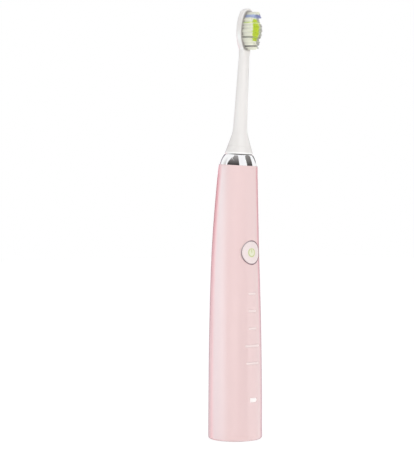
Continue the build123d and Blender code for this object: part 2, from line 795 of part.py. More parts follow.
# White bristles around the field
with BuildPart() as bristles_white:
    with BuildSketch(backing):
        with Locations((0, field_middle)):
            Ellipse(field_width, field_length)
        with Locations((0, BLUE_ROW - FIT)):
            Rectangle(
                2 * HEAD_HALF_WIDTH, band_tall + 2 * FIT, align=(Align.CENTER, Align.MIN), mode=Mode.SUBTRACT
            )
        Ellipse(GREEN_HALF_WIDTH + FIT, GREEN_HALF_LENGTH + FIT, mode=Mode.SUBTRACT)
    extrude(amount=BACKING)
    add(strands["white"])

# Green bristles in the middle
with BuildPart() as bristles_green:
    with BuildSketch(backing):
        Ellipse(GREEN_HALF_WIDTH, GREEN_HALF_LENGTH)
        with Locations((0, BLUE_ROW - FIT)):
            Rectangle(
                2 * HEAD_HALF_WIDTH, band_tall + 2 * FIT, align=(Align.CENTER, Align.MIN), mode=Mode.SUBTRACT
            )
    extrude(amount=BACKING)
    add(strands["green"])

# Blue bristles in one row near the tip
with BuildPart() as bristles_blue:
    with BuildSketch(backing):
        with Locations((0, field_middle)):
            Ellipse(field_width, field_length)
        with Locations((0, BLUE_ROW)):
            Rectangle(
                2 * HEAD_HALF_WIDTH, band_tall, align=(Align.CENTER, Align.MIN), mode=Mode.INTERSECT
            )
    extrude(amount=BACKING)
    add(strands["blue"])

# Export of the finished pieces
for name, piece in [
    ("handle_shell", handle_shell),
    ("base_cap", base_cap),
    ("base_seal", base_seal),
    ("collar_ring", collar_ring),
    ("shaft_seal", shaft_seal),
    ("button_bezel", button_bezel),
    ("button_seal", button_seal),
    ("power_icon", power_icon),
    ("power_button", power_button),
    ("switch_plunger", switch_plunger),
    ("tact_switch", tact_switch),
    ("mode_lights", mode_lights),
    ("battery_light", battery_light),
    ("circuit_board", circuit_board),
    ("board_lamps", board_lamps),
    ("board_chips", board_chips),
    ("charge_bobbin", charge_bobbin),
    ("charge_coil", charge_coil),
    ("charge_core", charge_core),
    ("chassis", chassis),
    ("battery_cell", battery_cell),
    ("battery_tabs", battery_tabs),
    ("drive_frame", drive_frame),
    ("front_bush", front_bush),
    ("end_plate", end_plate),
    ("stator_core", stator_core),
    ("stator_coil", stator_coil),
    ("drive_shaft", drive_shaft),
    ("rotor_yoke", rotor_yoke),
    ("rotor_magnets", rotor_magnets),
    ("torsion_rod", torsion_rod),
    ("brush_neck", brush_neck),
    ("id_ring", id_ring),
    ("drive_coupling", drive_coupling),
    ("bristles_white", bristles_white),
    ("bristles_green", bristles_green),
    ("bristles_blue", bristles_blue),
]:
    piece.part.label = name
    export_step(piece.part, f"parts/{name}.step")
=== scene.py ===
# %% [markdown]
# # An electric toothbrush, dressed over its solids
#
# The toothbrush comes as a frame of CAD solids. This lesson keeps the solids
# whose shape is already right and gives them finishes. It makes again the
# pieces that need a finer surface: the bright collar, the moulded brush neck
# and the bristles. Blender works in metres here, in the same frame as the
# solids. Small sizes are written in millimetres and scaled where they are used.

# %% Load the frame
import json
import math

import bmesh
import bpy
from mathutils import Matrix, Vector


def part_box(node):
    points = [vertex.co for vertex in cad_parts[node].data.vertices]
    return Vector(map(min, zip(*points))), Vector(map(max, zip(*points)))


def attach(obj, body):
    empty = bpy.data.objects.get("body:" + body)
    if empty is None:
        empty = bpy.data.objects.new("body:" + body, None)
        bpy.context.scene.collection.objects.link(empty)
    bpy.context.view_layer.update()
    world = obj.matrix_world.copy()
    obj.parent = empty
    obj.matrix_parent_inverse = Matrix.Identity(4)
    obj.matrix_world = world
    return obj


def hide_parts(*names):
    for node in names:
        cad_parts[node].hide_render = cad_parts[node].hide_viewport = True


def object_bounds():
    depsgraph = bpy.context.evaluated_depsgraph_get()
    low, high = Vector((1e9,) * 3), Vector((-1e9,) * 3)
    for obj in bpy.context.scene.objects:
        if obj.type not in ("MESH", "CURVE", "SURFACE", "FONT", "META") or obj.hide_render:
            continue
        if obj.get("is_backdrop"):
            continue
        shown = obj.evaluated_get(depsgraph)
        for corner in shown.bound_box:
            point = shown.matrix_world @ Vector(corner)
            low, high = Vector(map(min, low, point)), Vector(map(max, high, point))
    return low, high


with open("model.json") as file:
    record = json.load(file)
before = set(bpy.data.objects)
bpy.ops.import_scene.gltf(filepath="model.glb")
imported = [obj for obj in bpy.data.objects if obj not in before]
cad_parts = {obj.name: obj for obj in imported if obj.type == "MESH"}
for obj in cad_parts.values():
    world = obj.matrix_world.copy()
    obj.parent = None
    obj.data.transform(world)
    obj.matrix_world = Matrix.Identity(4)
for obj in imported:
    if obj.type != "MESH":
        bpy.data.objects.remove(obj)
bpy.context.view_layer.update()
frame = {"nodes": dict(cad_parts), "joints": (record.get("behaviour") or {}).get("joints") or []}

nodes = frame["nodes"]
MM = 0.001

# %% [markdown]
# The brush does not stand quite upright: the top of the handle bends forward.
# Collar, neck and bristles all follow the drive shaft, so it helps to have a
# small frame of its own along the shaft. The hinge of the brush gives that
# axis, and one function turns sizes along it into places.

# %% A frame along the shaft
sweep = next(joint for joint in frame["joints"] if joint["name"] == "brush_sweep")
seat = Vector(sweep["pos_m"])
along = Vector(sweep["axis"]).normalized()
across = Vector((1, 0, 0))
behind = along.cross(across)


def on_shaft(right, back, height):
    """Place at some millimetres right of, behind and above the collar's seat."""
    return seat + (across * right + behind * back + along * height) * MM


print("shaft leans", round(math.degrees(along.angle(Vector((0, 0, 1)))), 2), "degrees")

# %% [markdown]
# ## The camera
#
# The brush was photographed from its left front with the lens at about half
# its height, so its upright edges stay upright. A long lens far away keeps the
# foot's curve shallow. A little lens shift puts the handle right of the middle
# without turning the camera, which would tilt the edges.
# The shift comes from two places in the picture, in pixels: the column of the
# handle's axis and the row of the lens's level.

# %% Camera
WIDE, TALL = 414, 450
AXIS_COLUMN, LEVEL_ROW = 235.2, 231.25
FOCAL_PIXELS = 1335.8
SENSOR = 36
VIEW = math.radians(-42.5)
DISTANCE, EYE = 0.78, 0.121

camera_data = bpy.data.cameras.new("camera")
camera_data.sensor_width = SENSOR
camera_data.lens = FOCAL_PIXELS / TALL * SENSOR
camera_data.shift_x = (WIDE / 2 - AXIS_COLUMN) / TALL
camera_data.shift_y = (LEVEL_ROW - TALL / 2) / TALL
camera = bpy.data.objects.new("camera", camera_data)
camera.location = (math.sin(VIEW) * DISTANCE, -math.cos(VIEW) * DISTANCE, EYE)
camera.rotation_euler = (math.pi / 2, 0, VIEW)
bpy.context.scene.collection.objects.link(camera)
bpy.context.scene.camera = camera
bpy.context.scene.view_settings.view_transform = "Standard"
print("lens", round(camera_data.lens, 1), "mm")

# %% [markdown]
# ## Node trees as sums
#
# Finishes and bristles are both made of node trees. Wiring nodes by hand takes
# many lines, so two small classes help. `Term` wraps one socket, and a sum or
# product of terms adds the Math nodes by itself. `Nodes` has one method that
# adds any node with its settings and sockets.

# %% Terms and nodes


def operator(operation, swapped=False):
    """Method that adds one Math node for an operator of Python."""

    def apply(self, other):
        first, second = (other, self) if swapped else (self, other)
        return self.nodes.add("ShaderNodeMath", {"operation": operation}, {0: first, 1: second})

    return apply


class Term:
    """A socket that can stand in a sum."""

    def __init__(self, nodes, socket):
        self.nodes = nodes
        self.socket = socket

    __add__ = operator("ADD")
    __radd__ = operator("ADD", True)
    __sub__ = operator("SUBTRACT")
    __rsub__ = operator("SUBTRACT", True)
    __mul__ = operator("MULTIPLY")
    __rmul__ = operator("MULTIPLY", True)
    __truediv__ = operator("DIVIDE")
    __pow__ = operator("POWER")
    __mod__ = operator("FLOORED_MODULO")
    __lt__ = operator("LESS_THAN")
    __gt__ = operator("GREATER_THAN")


class Nodes:
    """A node tree, and one method that adds any node to it."""

    def __init__(self, tree):
        self.tree = tree

    def add(self, kind, settings=None, inputs=None, output=0):
        node = self.tree.nodes.new(kind)
        for name, value in (settings or {}).items():
            setattr(node, name, value)
        for key, value in (inputs or {}).items():
            if isinstance(value, Term):
                self.tree.links.new(value.socket, node.inputs[key])
            else:
                node.inputs[key].default_value = value
        return Term(self, node.outputs[output])


print("term and node classes ready")

# %% [markdown]
# ## Finishes
#
# Each finish is one Principled shader. A number that is the same everywhere
# goes straight onto the shader, and only what changes over the surface gets
# nodes. Patterns read Object coordinates, which are metres here, so a noise
# of scale 1000 has grains of about a millimetre.

# %% The finish class


def srgb(red, green, blue):
    """Linear colour of a screen colour from 0 to 255."""
    shares = (red / 255, green / 255, blue / 255)
    return tuple(c / 12.92 if c < 0.04045 else ((c + 0.055) / 1.055) ** 2.4 for c in shares)


class Finish(Nodes):
    """A material with one Principled shader."""

    def __init__(self, name):
        self.material = bpy.data.materials.new(name)
        self.material.use_nodes = True
        super().__init__(self.material.node_tree)
        self.shader = self.tree.nodes["Principled BSDF"]
        self.place = self.add("ShaderNodeTexCoord", output="Object")

    def noise(self, scale, detail=2.0, stretch=(1, 1, 1)):
        """Soft grain from 0 to 1, drawn out along an axis where its stretch is small."""
        place = self.add("ShaderNodeMapping", {}, {"Vector": self.place, "Scale": stretch})
        return self.add("ShaderNodeTexNoise", {}, {"Vector": place, "Scale": scale, "Detail": detail})

    def attribute(self, name):
        """Number that the mesh carries under a name."""
        return self.add("ShaderNodeAttribute", {"attribute_name": name}, output="Fac")

    def vector(self, operation, first, second=(0, 0, 0), output="Vector"):
        """One step of vector maths."""
        return self.add("ShaderNodeVectorMath", {"operation": operation}, {0: first, 1: second}, output)

    def share(self, value, start, end, clamp=True, kind="LINEAR"):
        """How far a value is on its way from a start to an end, from 0 to 1 where it is clamped."""
        settings = {"clamp": clamp, "interpolation_type": kind}
        inputs = {"Value": value, "From Min": start, "From Max": end}
        return self.add("ShaderNodeMapRange", settings, inputs)

    def colours(self, share, first, second):
        """Colour between two colours by a share from 0 to 1."""
        inputs = {0: share, 6: self.rgba(first), 7: self.rgba(second)}
        return self.add("ShaderNodeMix", {"data_type": "RGBA"}, inputs, output=2)

    @staticmethod
    def rgba(colour):
        return colour if isinstance(colour, Term) else (*colour, 1)

    def bump(self, height, distance):
        """Normal of a surface that rises by a distance in metres with the height."""
        return self.add("ShaderNodeBump", {}, {"Height": height, "Distance": distance}, output="Normal")

    def set(self, **sockets):
        """Fills sockets of the shader, named with underscores for spaces."""
        for name, value in sockets.items():
            socket = self.shader.inputs[name.replace("_", " ")]
            if isinstance(value, Term):
                self.tree.links.new(value.socket, socket)
            elif isinstance(value, tuple):
                socket.default_value = (*value, 1)
            else:
                socket.default_value = value
        return self.material


finishes = {}
print("finish class ready")

# %% [markdown]
# The shell is a satin pink moulding. Under a lens it is not one flat colour:
# pearl pigment makes faint clouds and fine flecks, and the mould leaves a
# slight orange peel that softens the edge of every reflection. A painted
# picture could hold all that, but it would need unwrapping. Three noises at
# three scales do the same and fit any shape.

# %% Pink shell
PINK, DEEP_PINK = srgb(237, 211, 210), srgb(234, 203, 203)
CLOUDS, FLECKS, PEEL = 60, 4500, 1500
PEEL_HEIGHT = 2e-6

pink = Finish("pink_shell")
clouds = pink.noise(CLOUDS, stretch=(1, 1, 0.3))
flecks = pink.noise(FLECKS)
finishes["pink_shell"] = pink.set(
    Base_Color=pink.colours(clouds * 0.7 + flecks * 0.3, PINK, DEEP_PINK),
    Roughness=flecks * 0.08 + 0.16,
    Normal=pink.bump(pink.noise(PEEL), PEEL_HEIGHT),
    Coat_Weight=0.9,
    Coat_Roughness=0.06,
)
print("pink:", [round(c, 3) for c in PINK])

# %% [markdown]
# The button is a paler pink. The lit symbol in it shines a little through the
# plastic around it, so its colour turns faintly green towards the middle. A
# lamp behind real clear plastic would do that too, at the cost of much noise,
# so the glow is only a colour here. The distance from the symbol is worked out
# in the plane of the button's face.

# %% Button
icon_low, icon_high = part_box("power_icon")
GLOW_NEAR, GLOW_FAR = 1.4, 3.4
SATIN = 2500


def in_face(finish, middle):
    """Vector from a middle, in the plane of the button's face."""
    spot = finish.vector("SUBTRACT", finish.place, middle)
    return finish.vector("MULTIPLY", spot, (1, 0, 1))


button = Finish("pink_button")
away = button.vector("LENGTH", in_face(button, (icon_low + icon_high) / 2), output="Value")
glow = 1 - button.share(away, GLOW_NEAR * MM, GLOW_FAR * MM, kind="SMOOTHSTEP")
face = button.colours(button.noise(SATIN), srgb(241, 228, 227), srgb(238, 222, 221))
finishes["pink_button"] = button.set(
    Base_Color=button.colours(glow * 0.9, face, srgb(231, 234, 206)),
    Roughness=button.noise(SATIN) * 0.08 + 0.24,
    Normal=button.bump(button.noise(PEEL), PEEL_HEIGHT),
    Coat_Weight=0.2,
    Coat_Roughness=0.2,
)
print("glow reaches", GLOW_FAR, "mm from the middle of the symbol")

# %% [markdown]
# The symbol is an inlay of clear green plastic, lit from behind. In a bright
# room the light adds little, so most of the colour is in the plastic and only
# a trace of it glows.

# %% Lit symbol
icon = Finish("icon_clear")
light = icon.colours(icon.noise(900), srgb(194, 201, 138), srgb(204, 209, 150))
finishes["icon_clear"] = icon.set(
    Base_Color=light, Roughness=icon.noise(SATIN) * 0.1 + 0.25, Emission_Color=light, Emission_Strength=0.04
)
print("symbol spans", [round(s / MM, 2) for s in icon_high - icon_low], "mm")

# %% [markdown]
# The bright pieces are plated. Real plating is never perfect: faint smears
# change its gloss from place to place. A plain mirror would look drawn, so a
# noise moves the roughness of the collar a little.

# %% Plating of the collar
plating = Finish("bright_collar")
smear = plating.noise(250, 4, (1, 1, 0.4))
finishes["bright_collar"] = plating.set(
    Base_Color=plating.colours(smear, srgb(250, 250, 251), srgb(243, 243, 245)),
    Metallic=1.0,
    Roughness=smear * 0.05 + 0.03,
)
print("collar's plating ready")

# %% [markdown]
# The thin ring round the button has a darker, rose-grey plating. At its upper
# left a painted highlight makes it pale, where a polished bevel would catch the
# light. The outermost edge of the ring is pink like the shell, which makes the
# grey line thinner. Both come from the place on the ring's face: how far it
# lies towards the upper left, and its distance from the middle.

# %% Plating of the ring round the button
bezel_low, bezel_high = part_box("button_bezel")
RIM_START, RIM_END = 7.0, 7.08
# GLINT is the way towards the painted highlight on the ring.
GLINT = Vector((-0.8, 0, 0.6))
PAINTED_GLINT_START, PAINTED_GLINT_END = 2.1, 7.0

ring = Finish("bright_bezel")
spot = in_face(ring, (bezel_low + bezel_high) / 2)
rim = ring.share(ring.vector("LENGTH", spot, output="Value"), RIM_START * MM, RIM_END * MM)
towards = ring.vector("DOT_PRODUCT", spot, GLINT, output="Value")
painted_glint = ring.share(towards, PAINTED_GLINT_START * MM, PAINTED_GLINT_END * MM)
rose_grey = ring.colours(ring.noise(900), srgb(146, 118, 127), srgb(132, 104, 114))
# Painted highlight: the ring turns pale towards its upper left.
rose_grey = ring.colours(painted_glint**2 * 0.75, rose_grey, srgb(238, 226, 226))
finishes["bright_bezel"] = ring.set(
    Base_Color=ring.colours(rim, rose_grey, PINK),
    Metallic=0.5 - rim * 0.5,
    Roughness=ring.noise(2000) * 0.1 + 0.15,
)
print("ring's box", [round(s / MM, 2) for s in bezel_high - bezel_low], "mm")

# %% [markdown]
# The brush neck is white plastic, a touch warm. It was moulded from its foot
# up, so faint flow lines run along it. They are a noise drawn out along the
# height. Its zones could be materials of their own, but a moulding has no
# hard borders, so distances from the collar's seat fade one zone into the next.
#
# Round the bristles the plate's face is painted a little grey: painted shade,
# where the tufts keep the light off it. That zone is found by its depth in front
# of the shaft and by its distance from the oval field, and the plate's tip is free of it.
# At the foot, the thin lip is painted paler, a painted highlight for the light
# that it lets through. The groove under it is painted dark, as painted shade,
# and at its left a painted highlight makes it pale again, where it would catch the light.

# %% White moulding
PLATE_MIDDLE, FIELD_MIDDLE, FIELD_HALF_WIDTH, FIELD_HALF_LENGTH = 78.0, -0.75, 4.7, 10.75
ROOT_SHADE_RIM, ROOT_SHADE_DEPTH = (1.15, 1.55), (1.8, 2.3)
ROOT_SHADE_FOOT, ROOT_SHADE_TIP = (65.2, 66.6), (88, 89.5)
GROOVE_TOP = 6.2
LIP_HIGHLIGHT_EDGE = (GROOVE_TOP + 1.1, GROOVE_TOP + 0.6)
GROOVE_SHADE_EDGE = (GROOVE_TOP - 0.02, GROOVE_TOP - 0.06)
RIGHT_OF_LENS = Vector((math.cos(VIEW), math.sin(VIEW), 0))
PAINTED_GLEAM_EDGE, SHADE_LEFT_AT_GLEAM = (-6.5, -2.5), 0.15
FLOW_HEIGHT = 3e-6

white = Finish("white_moulding")
flow = white.noise(700, 3, (1, 1, 0.06))


def measured(direction, start, end, clamp=True):
    """Share of the way between two distances from the collar's seat, in millimetres."""
    base = seat.dot(direction)
    distance = white.vector("DOT_PRODUCT", white.place, direction, output="Value")
    return white.share(distance, base + start * MM, base + end * MM, clamp)


middle = PLATE_MIDDLE + FIELD_MIDDLE
across_field = measured(across, 0, FIELD_HALF_WIDTH, clamp=False)
along_field = measured(along, middle, middle + FIELD_HALF_LENGTH, clamp=False)
# near_field and on_face mark the painted shade round the tufts' roots.
near_field = 1 - white.share(across_field**2 + along_field**2, *ROOT_SHADE_RIM)
on_face = measured(-behind, *ROOT_SHADE_DEPTH) * measured(along, *ROOT_SHADE_FOOT) * (1 - measured(along, *ROOT_SHADE_TIP))
plain = white.colours(flow, srgb(239, 236, 233), srgb(233, 230, 228))
# Painted highlight: the lip at the foot is paler.
plain = white.colours(measured(along, *LIP_HIGHLIGHT_EDGE), plain, srgb(254, 253, 251))
# Painted shade in the groove above the collar, lightened at its left by a painted highlight.
painted_groove_shade = measured(RIGHT_OF_LENS, *PAINTED_GLEAM_EDGE) * (1 - SHADE_LEFT_AT_GLEAM) + SHADE_LEFT_AT_GLEAM
plain = white.colours(measured(along, *GROOVE_SHADE_EDGE) * painted_groove_shade, plain, srgb(64, 62, 60))
# The grey in Base_Color is the painted shade round the tufts.
finishes["white_moulding"] = white.set(
    Base_Color=white.colours(near_field * on_face, plain, srgb(156, 152, 148)),
    Roughness=white.noise(3000) * 0.08 + 0.26,
    Normal=white.bump(flow, FLOW_HEIGHT),
    Coat_Weight=0.6,
    Coat_Roughness=0.12,
)
print("white moulding's tree has", len(white.tree.nodes), "nodes")

# %% [markdown]
# The marks on the handle are milky light guides in front of the board's lamps.
# Only the battery mark, low down, is lit. One finish serves all of them: a
# comparison with the height tells the lit mark from the others.

# %% Light guides
LIT_BELOW = 30

guide = Finish("light_guide")
milk = guide.noise(1800)
level = guide.add("ShaderNodeSeparateXYZ", {}, {0: guide.place}, output="Z")
lit = level < LIT_BELOW * MM
unlit_milk = guide.colours(milk, srgb(247, 230, 228), srgb(243, 222, 221))
finishes["light_guide"] = guide.set(
    Base_Color=guide.colours(lit, unlit_milk, srgb(250, 243, 241)),
    Roughness=milk * 0.1 + 0.3,
    Emission_Color=guide.colours(lit, (0, 0, 0), (0.06, 0.06, 0.06)),
    Emission_Strength=1.0,
)
print("marks below", LIT_BELOW, "mm are lit")

# %% [markdown]
# Bristles are nylon. Each filament carries three numbers as attributes: a
# shade, the share of the way from root to tip, and a mark for a tip of another
# colour. The shade is a random tone, and in the parting rows it also carries
# painted shade. White and blue ones are painted darker at the root: painted
# shade, where light gets lost among the filaments. Green ones are dyed from the tip down and pale below. A
# power of the share says how soon the colour of the tip is reached.
#
# Marked tips are painted grey at the right of the white field, as painted
# shade where little light falls, painted pale in one green row, as a painted
# highlight, and violet over half of the blue band. In the rows that part the
# blocks the shade is below nought, which paints the roots dark: painted shade
# between the blocks. Nylon passes light from one filament to the next, and a faint glow stands for that.

# %% Nylon filaments
# Columns: root, tip, power, and the tone of marked tips. The dark roots of white and blue are painted
# shade; the grey marked tone of white is painted shade, the pale one of green a painted highlight.
NYLON = {
    "bristle_white": (srgb(178, 175, 168), srgb(243, 244, 229), 0.35, srgb(150, 148, 152)),
    "bristle_green": (srgb(198, 212, 150), srgb(212, 230, 56), 4, srgb(248, 250, 205)),
    "bristle_blue": (srgb(122, 133, 175), srgb(184, 196, 224), 0.6, srgb(132, 132, 188)),
}
# PARTING is the colour of the painted shade at the roots of the parting rows.
PARTING = srgb(88, 85, 80)
MARK_POWER, MARK_SHARE, PARTING_SHADE_SHARE = 30, 0.8, 0.21

for slot, (root, tip, power, marked_tone) in NYLON.items():
    nylon = Finish(slot)
    shade, rise, trimmed = [nylon.attribute(name) for name in ("shade", "rise", "trimmed")]
    # The darker roots of white and blue are painted shade.
    tone = nylon.colours(rise**power * 0.75 + shade * 0.25, root, tip)
    # Marked tips: painted shade on white, a painted highlight on green.
    tone = nylon.colours(rise**MARK_POWER * trimmed * MARK_SHARE, tone, marked_tone)
    # Painted shade: roots in the parting rows turn towards the PARTING colour.
    tone = nylon.colours(shade * -PARTING_SHADE_SHARE * (1 - rise * 0.8), tone, PARTING)
    finishes[slot] = nylon.set(
        Base_Color=tone, Roughness=shade * 0.1 + 0.35, Emission_Color=tone, Emission_Strength=0.14
    )
print("nylon:", sorted(NYLON))

# %% [markdown]
# Inside the handle sit the pieces that make it work. They are seen only when
# it is taken apart, but each still has its own surface. They differ in numbers
# only, so a table and a loop make them: a base colour, a second colour for the
# grain, the size of that grain and how it is drawn out, roughness and metal.

# %% Finishes of the inner pieces
INNER = {
    "coupling_plastic": (srgb(222, 222, 219), srgb(212, 212, 209), 2500, (1, 1, 1), 0.45, 0.0),
    "seal_rubber": (srgb(60, 60, 62), srgb(48, 48, 50), 3500, (1, 1, 1), 0.7, 0.0),
    "chassis_plastic": (srgb(208, 208, 203), srgb(198, 198, 193), 2000, (1, 1, 1), 0.5, 0.0),
    "board_laminate": (srgb(30, 100, 60), srgb(22, 78, 46), 900, (1, 1, 0.2), 0.4, 0.0),
    "chip_black": (srgb(40, 40, 41), srgb(30, 30, 31), 4000, (1, 1, 1), 0.6, 0.0),
    "lamp_clear": (srgb(238, 232, 200), srgb(228, 218, 170), 1500, (1, 1, 1), 0.2, 0.0),
    "cell_wrap": (srgb(60, 110, 160), srgb(50, 96, 146), 400, (1, 1, 0.1), 0.3, 0.0),
    "tab_metal": (srgb(205, 203, 198), srgb(188, 186, 180), 3000, (0.1, 1, 1), 0.3, 1.0),
    "ferrite": (srgb(70, 70, 72), srgb(50, 50, 52), 5000, (1, 1, 1), 0.65, 0.0),
    "frame_metal": (srgb(196, 198, 200), srgb(180, 182, 184), 2500, (1, 1, 0.05), 0.32, 1.0),
    "bush_bronze": (srgb(190, 150, 96), srgb(160, 122, 72), 6000, (1, 1, 1), 0.45, 1.0),
    "core_steel": (srgb(150, 150, 152), srgb(120, 120, 122), 2500, (20, 1, 0.05), 0.4, 1.0),
    "shaft_steel": (srgb(206, 206, 208), srgb(190, 190, 192), 3500, (1, 1, 6), 0.2, 1.0),
    "magnet_plated": (srgb(192, 192, 196), srgb(178, 178, 182), 1200, (1, 1, 1), 0.18, 1.0),
}
GRAIN_HEIGHT = 4e-6

for slot, (colour, second, grain_scale, stretch, roughness, metallic) in INNER.items():
    inner = Finish(slot)
    grain = inner.noise(grain_scale, 3, stretch)
    finishes[slot] = inner.set(
        Base_Color=inner.colours(grain, colour, second),
        Roughness=grain * 0.1 + roughness,
        Metallic=metallic,
        Normal=inner.bump(grain, GRAIN_HEIGHT),
    )
print("inner finishes:", len(INNER))

# %% [markdown]
# The two windings are solid rings. Modelled turns would never be seen inside
# the handle, so a wave along the height draws them in colour and relief; the
# colour is painted shade between the turns and a painted highlight along each.
# Then each solid's material slot gets the finish of the same name.

# %% Copper wire, and finishes onto the solids
TURNS, WIRE_HEIGHT = 900, 4e-5

wire = Finish("copper_wire")
turns = wire.add("ShaderNodeTexWave", {"bands_direction": "Z"}, {"Vector": wire.place, "Scale": TURNS})
finishes["copper_wire"] = wire.set(
    # The colour wave is painted shade between the turns and a painted highlight along each.
    Base_Color=wire.colours(turns, srgb(150, 84, 48), srgb(205, 128, 82)),
    Roughness=turns * 0.1 + 0.3,
    Metallic=1.0,
    Normal=wire.bump(turns, WIRE_HEIGHT),
)

for node in nodes.values():
    for slot in node.material_slots:
        slot.material = finishes[slot.material.name.split(".")[0]]
print("finishes:", len(finishes))

# %% [markdown]
# ## Turned and lofted pieces
#
# A bright ring shows every facet of a solid's triangles, so the collar is
# turned again from its profile, in fine steps. The brush neck is lofted: rings
# of points are laid one above the other and joined by quads. A turned piece is
# also a stack of rings, so one helper that joins rings serves both.

# %% Helpers for turned and lofted pieces
TURN_STEPS = 160
MERGE = 1e-7
SHARP = math.radians(35)


def joined(name, rings, loop):
    """Mesh object of quads between rings, closed into a loop or with filled ends."""
    count = len(rings[0])
    mesh = bpy.data.meshes.new(name)
    shape = bmesh.new()
    rows = [[shape.verts.new(point) for point in ring] for ring in rings]
    pairs = list(zip(rows, rows[1:]))
    if loop:
        pairs.append((rows[-1], rows[0]))
    else:
        shape.faces.new(rows[0])
        shape.faces.new(rows[-1])
    for low, high in pairs:
        for k in range(count):
            n = (k + 1) % count
            shape.faces.new((low[k], low[n], high[n], high[k]))
    bmesh.ops.remove_doubles(shape, verts=shape.verts, dist=MERGE)
    bmesh.ops.recalc_face_normals(shape, faces=shape.faces)
    shape.to_mesh(mesh)
    shape.free()
    mesh.shade_smooth()
    mesh.set_sharp_from_angle(angle=SHARP)
    piece = bpy.data.objects.new(name, mesh)
    bpy.context.scene.collection.objects.link(piece)
    return piece


def circle(radius, height, count):
    """Points of a circle round the shaft."""
    angles = [2 * math.pi * k / count for k in range(count)]
    return [on_shaft(radius * math.cos(a), radius * math.sin(a), height) for a in angles]


def turned(name, profile):
    """Ring with a closed profile of radii and heights, turned round the shaft."""
    return joined(name, [circle(radius, height, TURN_STEPS) for radius, height in profile], loop=True)


def arc(middle, radius, start, end, steps):
    """Points of an arc in the plane of a profile, in degrees."""
    turns = [math.radians(start + (end - start) * i / steps) for i in range(steps + 1)]
    return [(middle[0] + radius * math.cos(t), middle[1] + radius * math.sin(t)) for t in turns]


def dress(piece, body, slot, *replaced):
    """Gives a piece its finish, and puts it in the place of solids on a body."""
    piece.data.materials.clear()
    piece.data.materials.append(finishes[slot])
    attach(piece, body)
    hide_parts(*replaced)
    print(piece.name, "has", len(piece.data.polygons), "faces")


# %% [markdown]
# The collar is a shoulder between handle and brush. Its profile leaves the
# shell at a slight slope and bends in on one large arc. The upper corner gets
# a small round, because plating always builds up into one. A Bevel modifier
# could round it too, but in the profile it is one more arc.

# %% Collar
COLLAR_RADIUS, COLLAR_TOP, COLLAR_HEIGHT, COLLAR_BORE = 10.73, 8.3, 5.6, 5.6
SKIRT, SLOPE = 0.4, 8
SPIGOT_RADIUS, SPIGOT_DEPTH = 9.45, 4.0
CORNER_ROUND, CORNER_INSET = 0.2, 0.12
SHOULDER_SHORT, CORNER_LEAD = 1.5, 10
SHOULDER_STEPS, CORNER_STEPS = 40, 6
drop, climb = COLLAR_RADIUS - COLLAR_TOP, COLLAR_HEIGHT + SKIRT
out, up = math.cos(math.radians(SLOPE)), math.sin(math.radians(SLOPE))
shoulder_radius = (drop**2 + climb**2) / (2 * (drop * out - climb * up))
shoulder_middle = (COLLAR_RADIUS - shoulder_radius * out, -SKIRT - shoulder_radius * up)
shoulder_turn = math.degrees(math.asin((COLLAR_HEIGHT - shoulder_middle[1]) / shoulder_radius))
shoulder = arc(shoulder_middle, shoulder_radius, SLOPE, shoulder_turn - SHOULDER_SHORT, SHOULDER_STEPS)
corner_middle = (COLLAR_TOP - CORNER_INSET, COLLAR_HEIGHT - CORNER_ROUND)
corner = arc(corner_middle, CORNER_ROUND, shoulder_turn - CORNER_LEAD, 90, CORNER_STEPS)
inside = [
    (COLLAR_BORE, COLLAR_HEIGHT),
    (COLLAR_BORE, -SPIGOT_DEPTH),
    (SPIGOT_RADIUS, -SPIGOT_DEPTH),
    (SPIGOT_RADIUS, -SKIRT),
]
dress(turned("collar", shoulder + corner + inside), "handle", "bright_collar", "collar_ring")

# %% [markdown]
# The ring at the foot of the neck can be bought in several colours to tell
# brushes apart. Here it is white like the neck, and only a fine seam shows
# where it ends. A line painted in the finish would look flat from close by, so
# small rounds on both sides of the seam draw it. Below its lip the ring steps
# in, which leaves a groove above the collar that the finish darkens with painted shade.

# %% Ring at the foot of the neck
HEAD_FOOT, RING_TOP = 5.9, 10.4
WAIST_RADIUS, WAIST = 4.05, 18.6
RING_WALL, SEAM = 1.0, 0.12
GROOVE_RADIUS, GROOVE_GAP = 7.8, 0.05
flare = (COLLAR_TOP - WAIST_RADIUS) / (WAIST - HEAD_FOOT)
ring_top_radius = COLLAR_TOP - flare * (RING_TOP - HEAD_FOOT)
ring_bore = ring_top_radius - RING_WALL
lip_radius = COLLAR_TOP - flare * (GROOVE_TOP - HEAD_FOOT)
groove_foot = COLLAR_HEIGHT + GROOVE_GAP
nick = 0.3 * SEAM
ring_profile = [
    (GROOVE_RADIUS, groove_foot),
    (GROOVE_RADIUS, GROOVE_TOP),
    (lip_radius - SEAM, GROOVE_TOP),
    (lip_radius - nick, GROOVE_TOP + nick),
    (lip_radius - flare * SEAM, GROOVE_TOP + SEAM),
    (ring_top_radius + flare * SEAM, RING_TOP - SEAM),
    (ring_top_radius - nick, RING_TOP - nick),
    (ring_top_radius - SEAM, RING_TOP),
    (ring_bore, RING_TOP),
    (ring_bore, groove_foot),
]
dress(turned("foot_ring", ring_profile), "brush_head", "white_moulding", "id_ring")

# %% [markdown]
# The neck starts as a flared round tube, grows slim, and ends in an oval plate
# that carries the bristles. It is one moulding with no hard joint between tube
# and plate. Two meshes joined by a Boolean would leave a crease there, so one
# loft makes it. First come the rules for its sizes: a soft maximum of tube and
# plate blends one into the other.

# %% Sizes along the neck
TAPER_END, TAPER_RADIUS = 71.95, 2.75
PLATE_HALF_WIDTH, PLATE_HALF_LENGTH = 6.0, 12.1
WAIST_BLEND = 0.33


def eased(value, start, end):
    """Share from 0 to 1 that starts and ends gently."""
    t = min(1.0, max(0.0, (value - start) / (end - start)))
    return t * t * (3 - 2 * t)


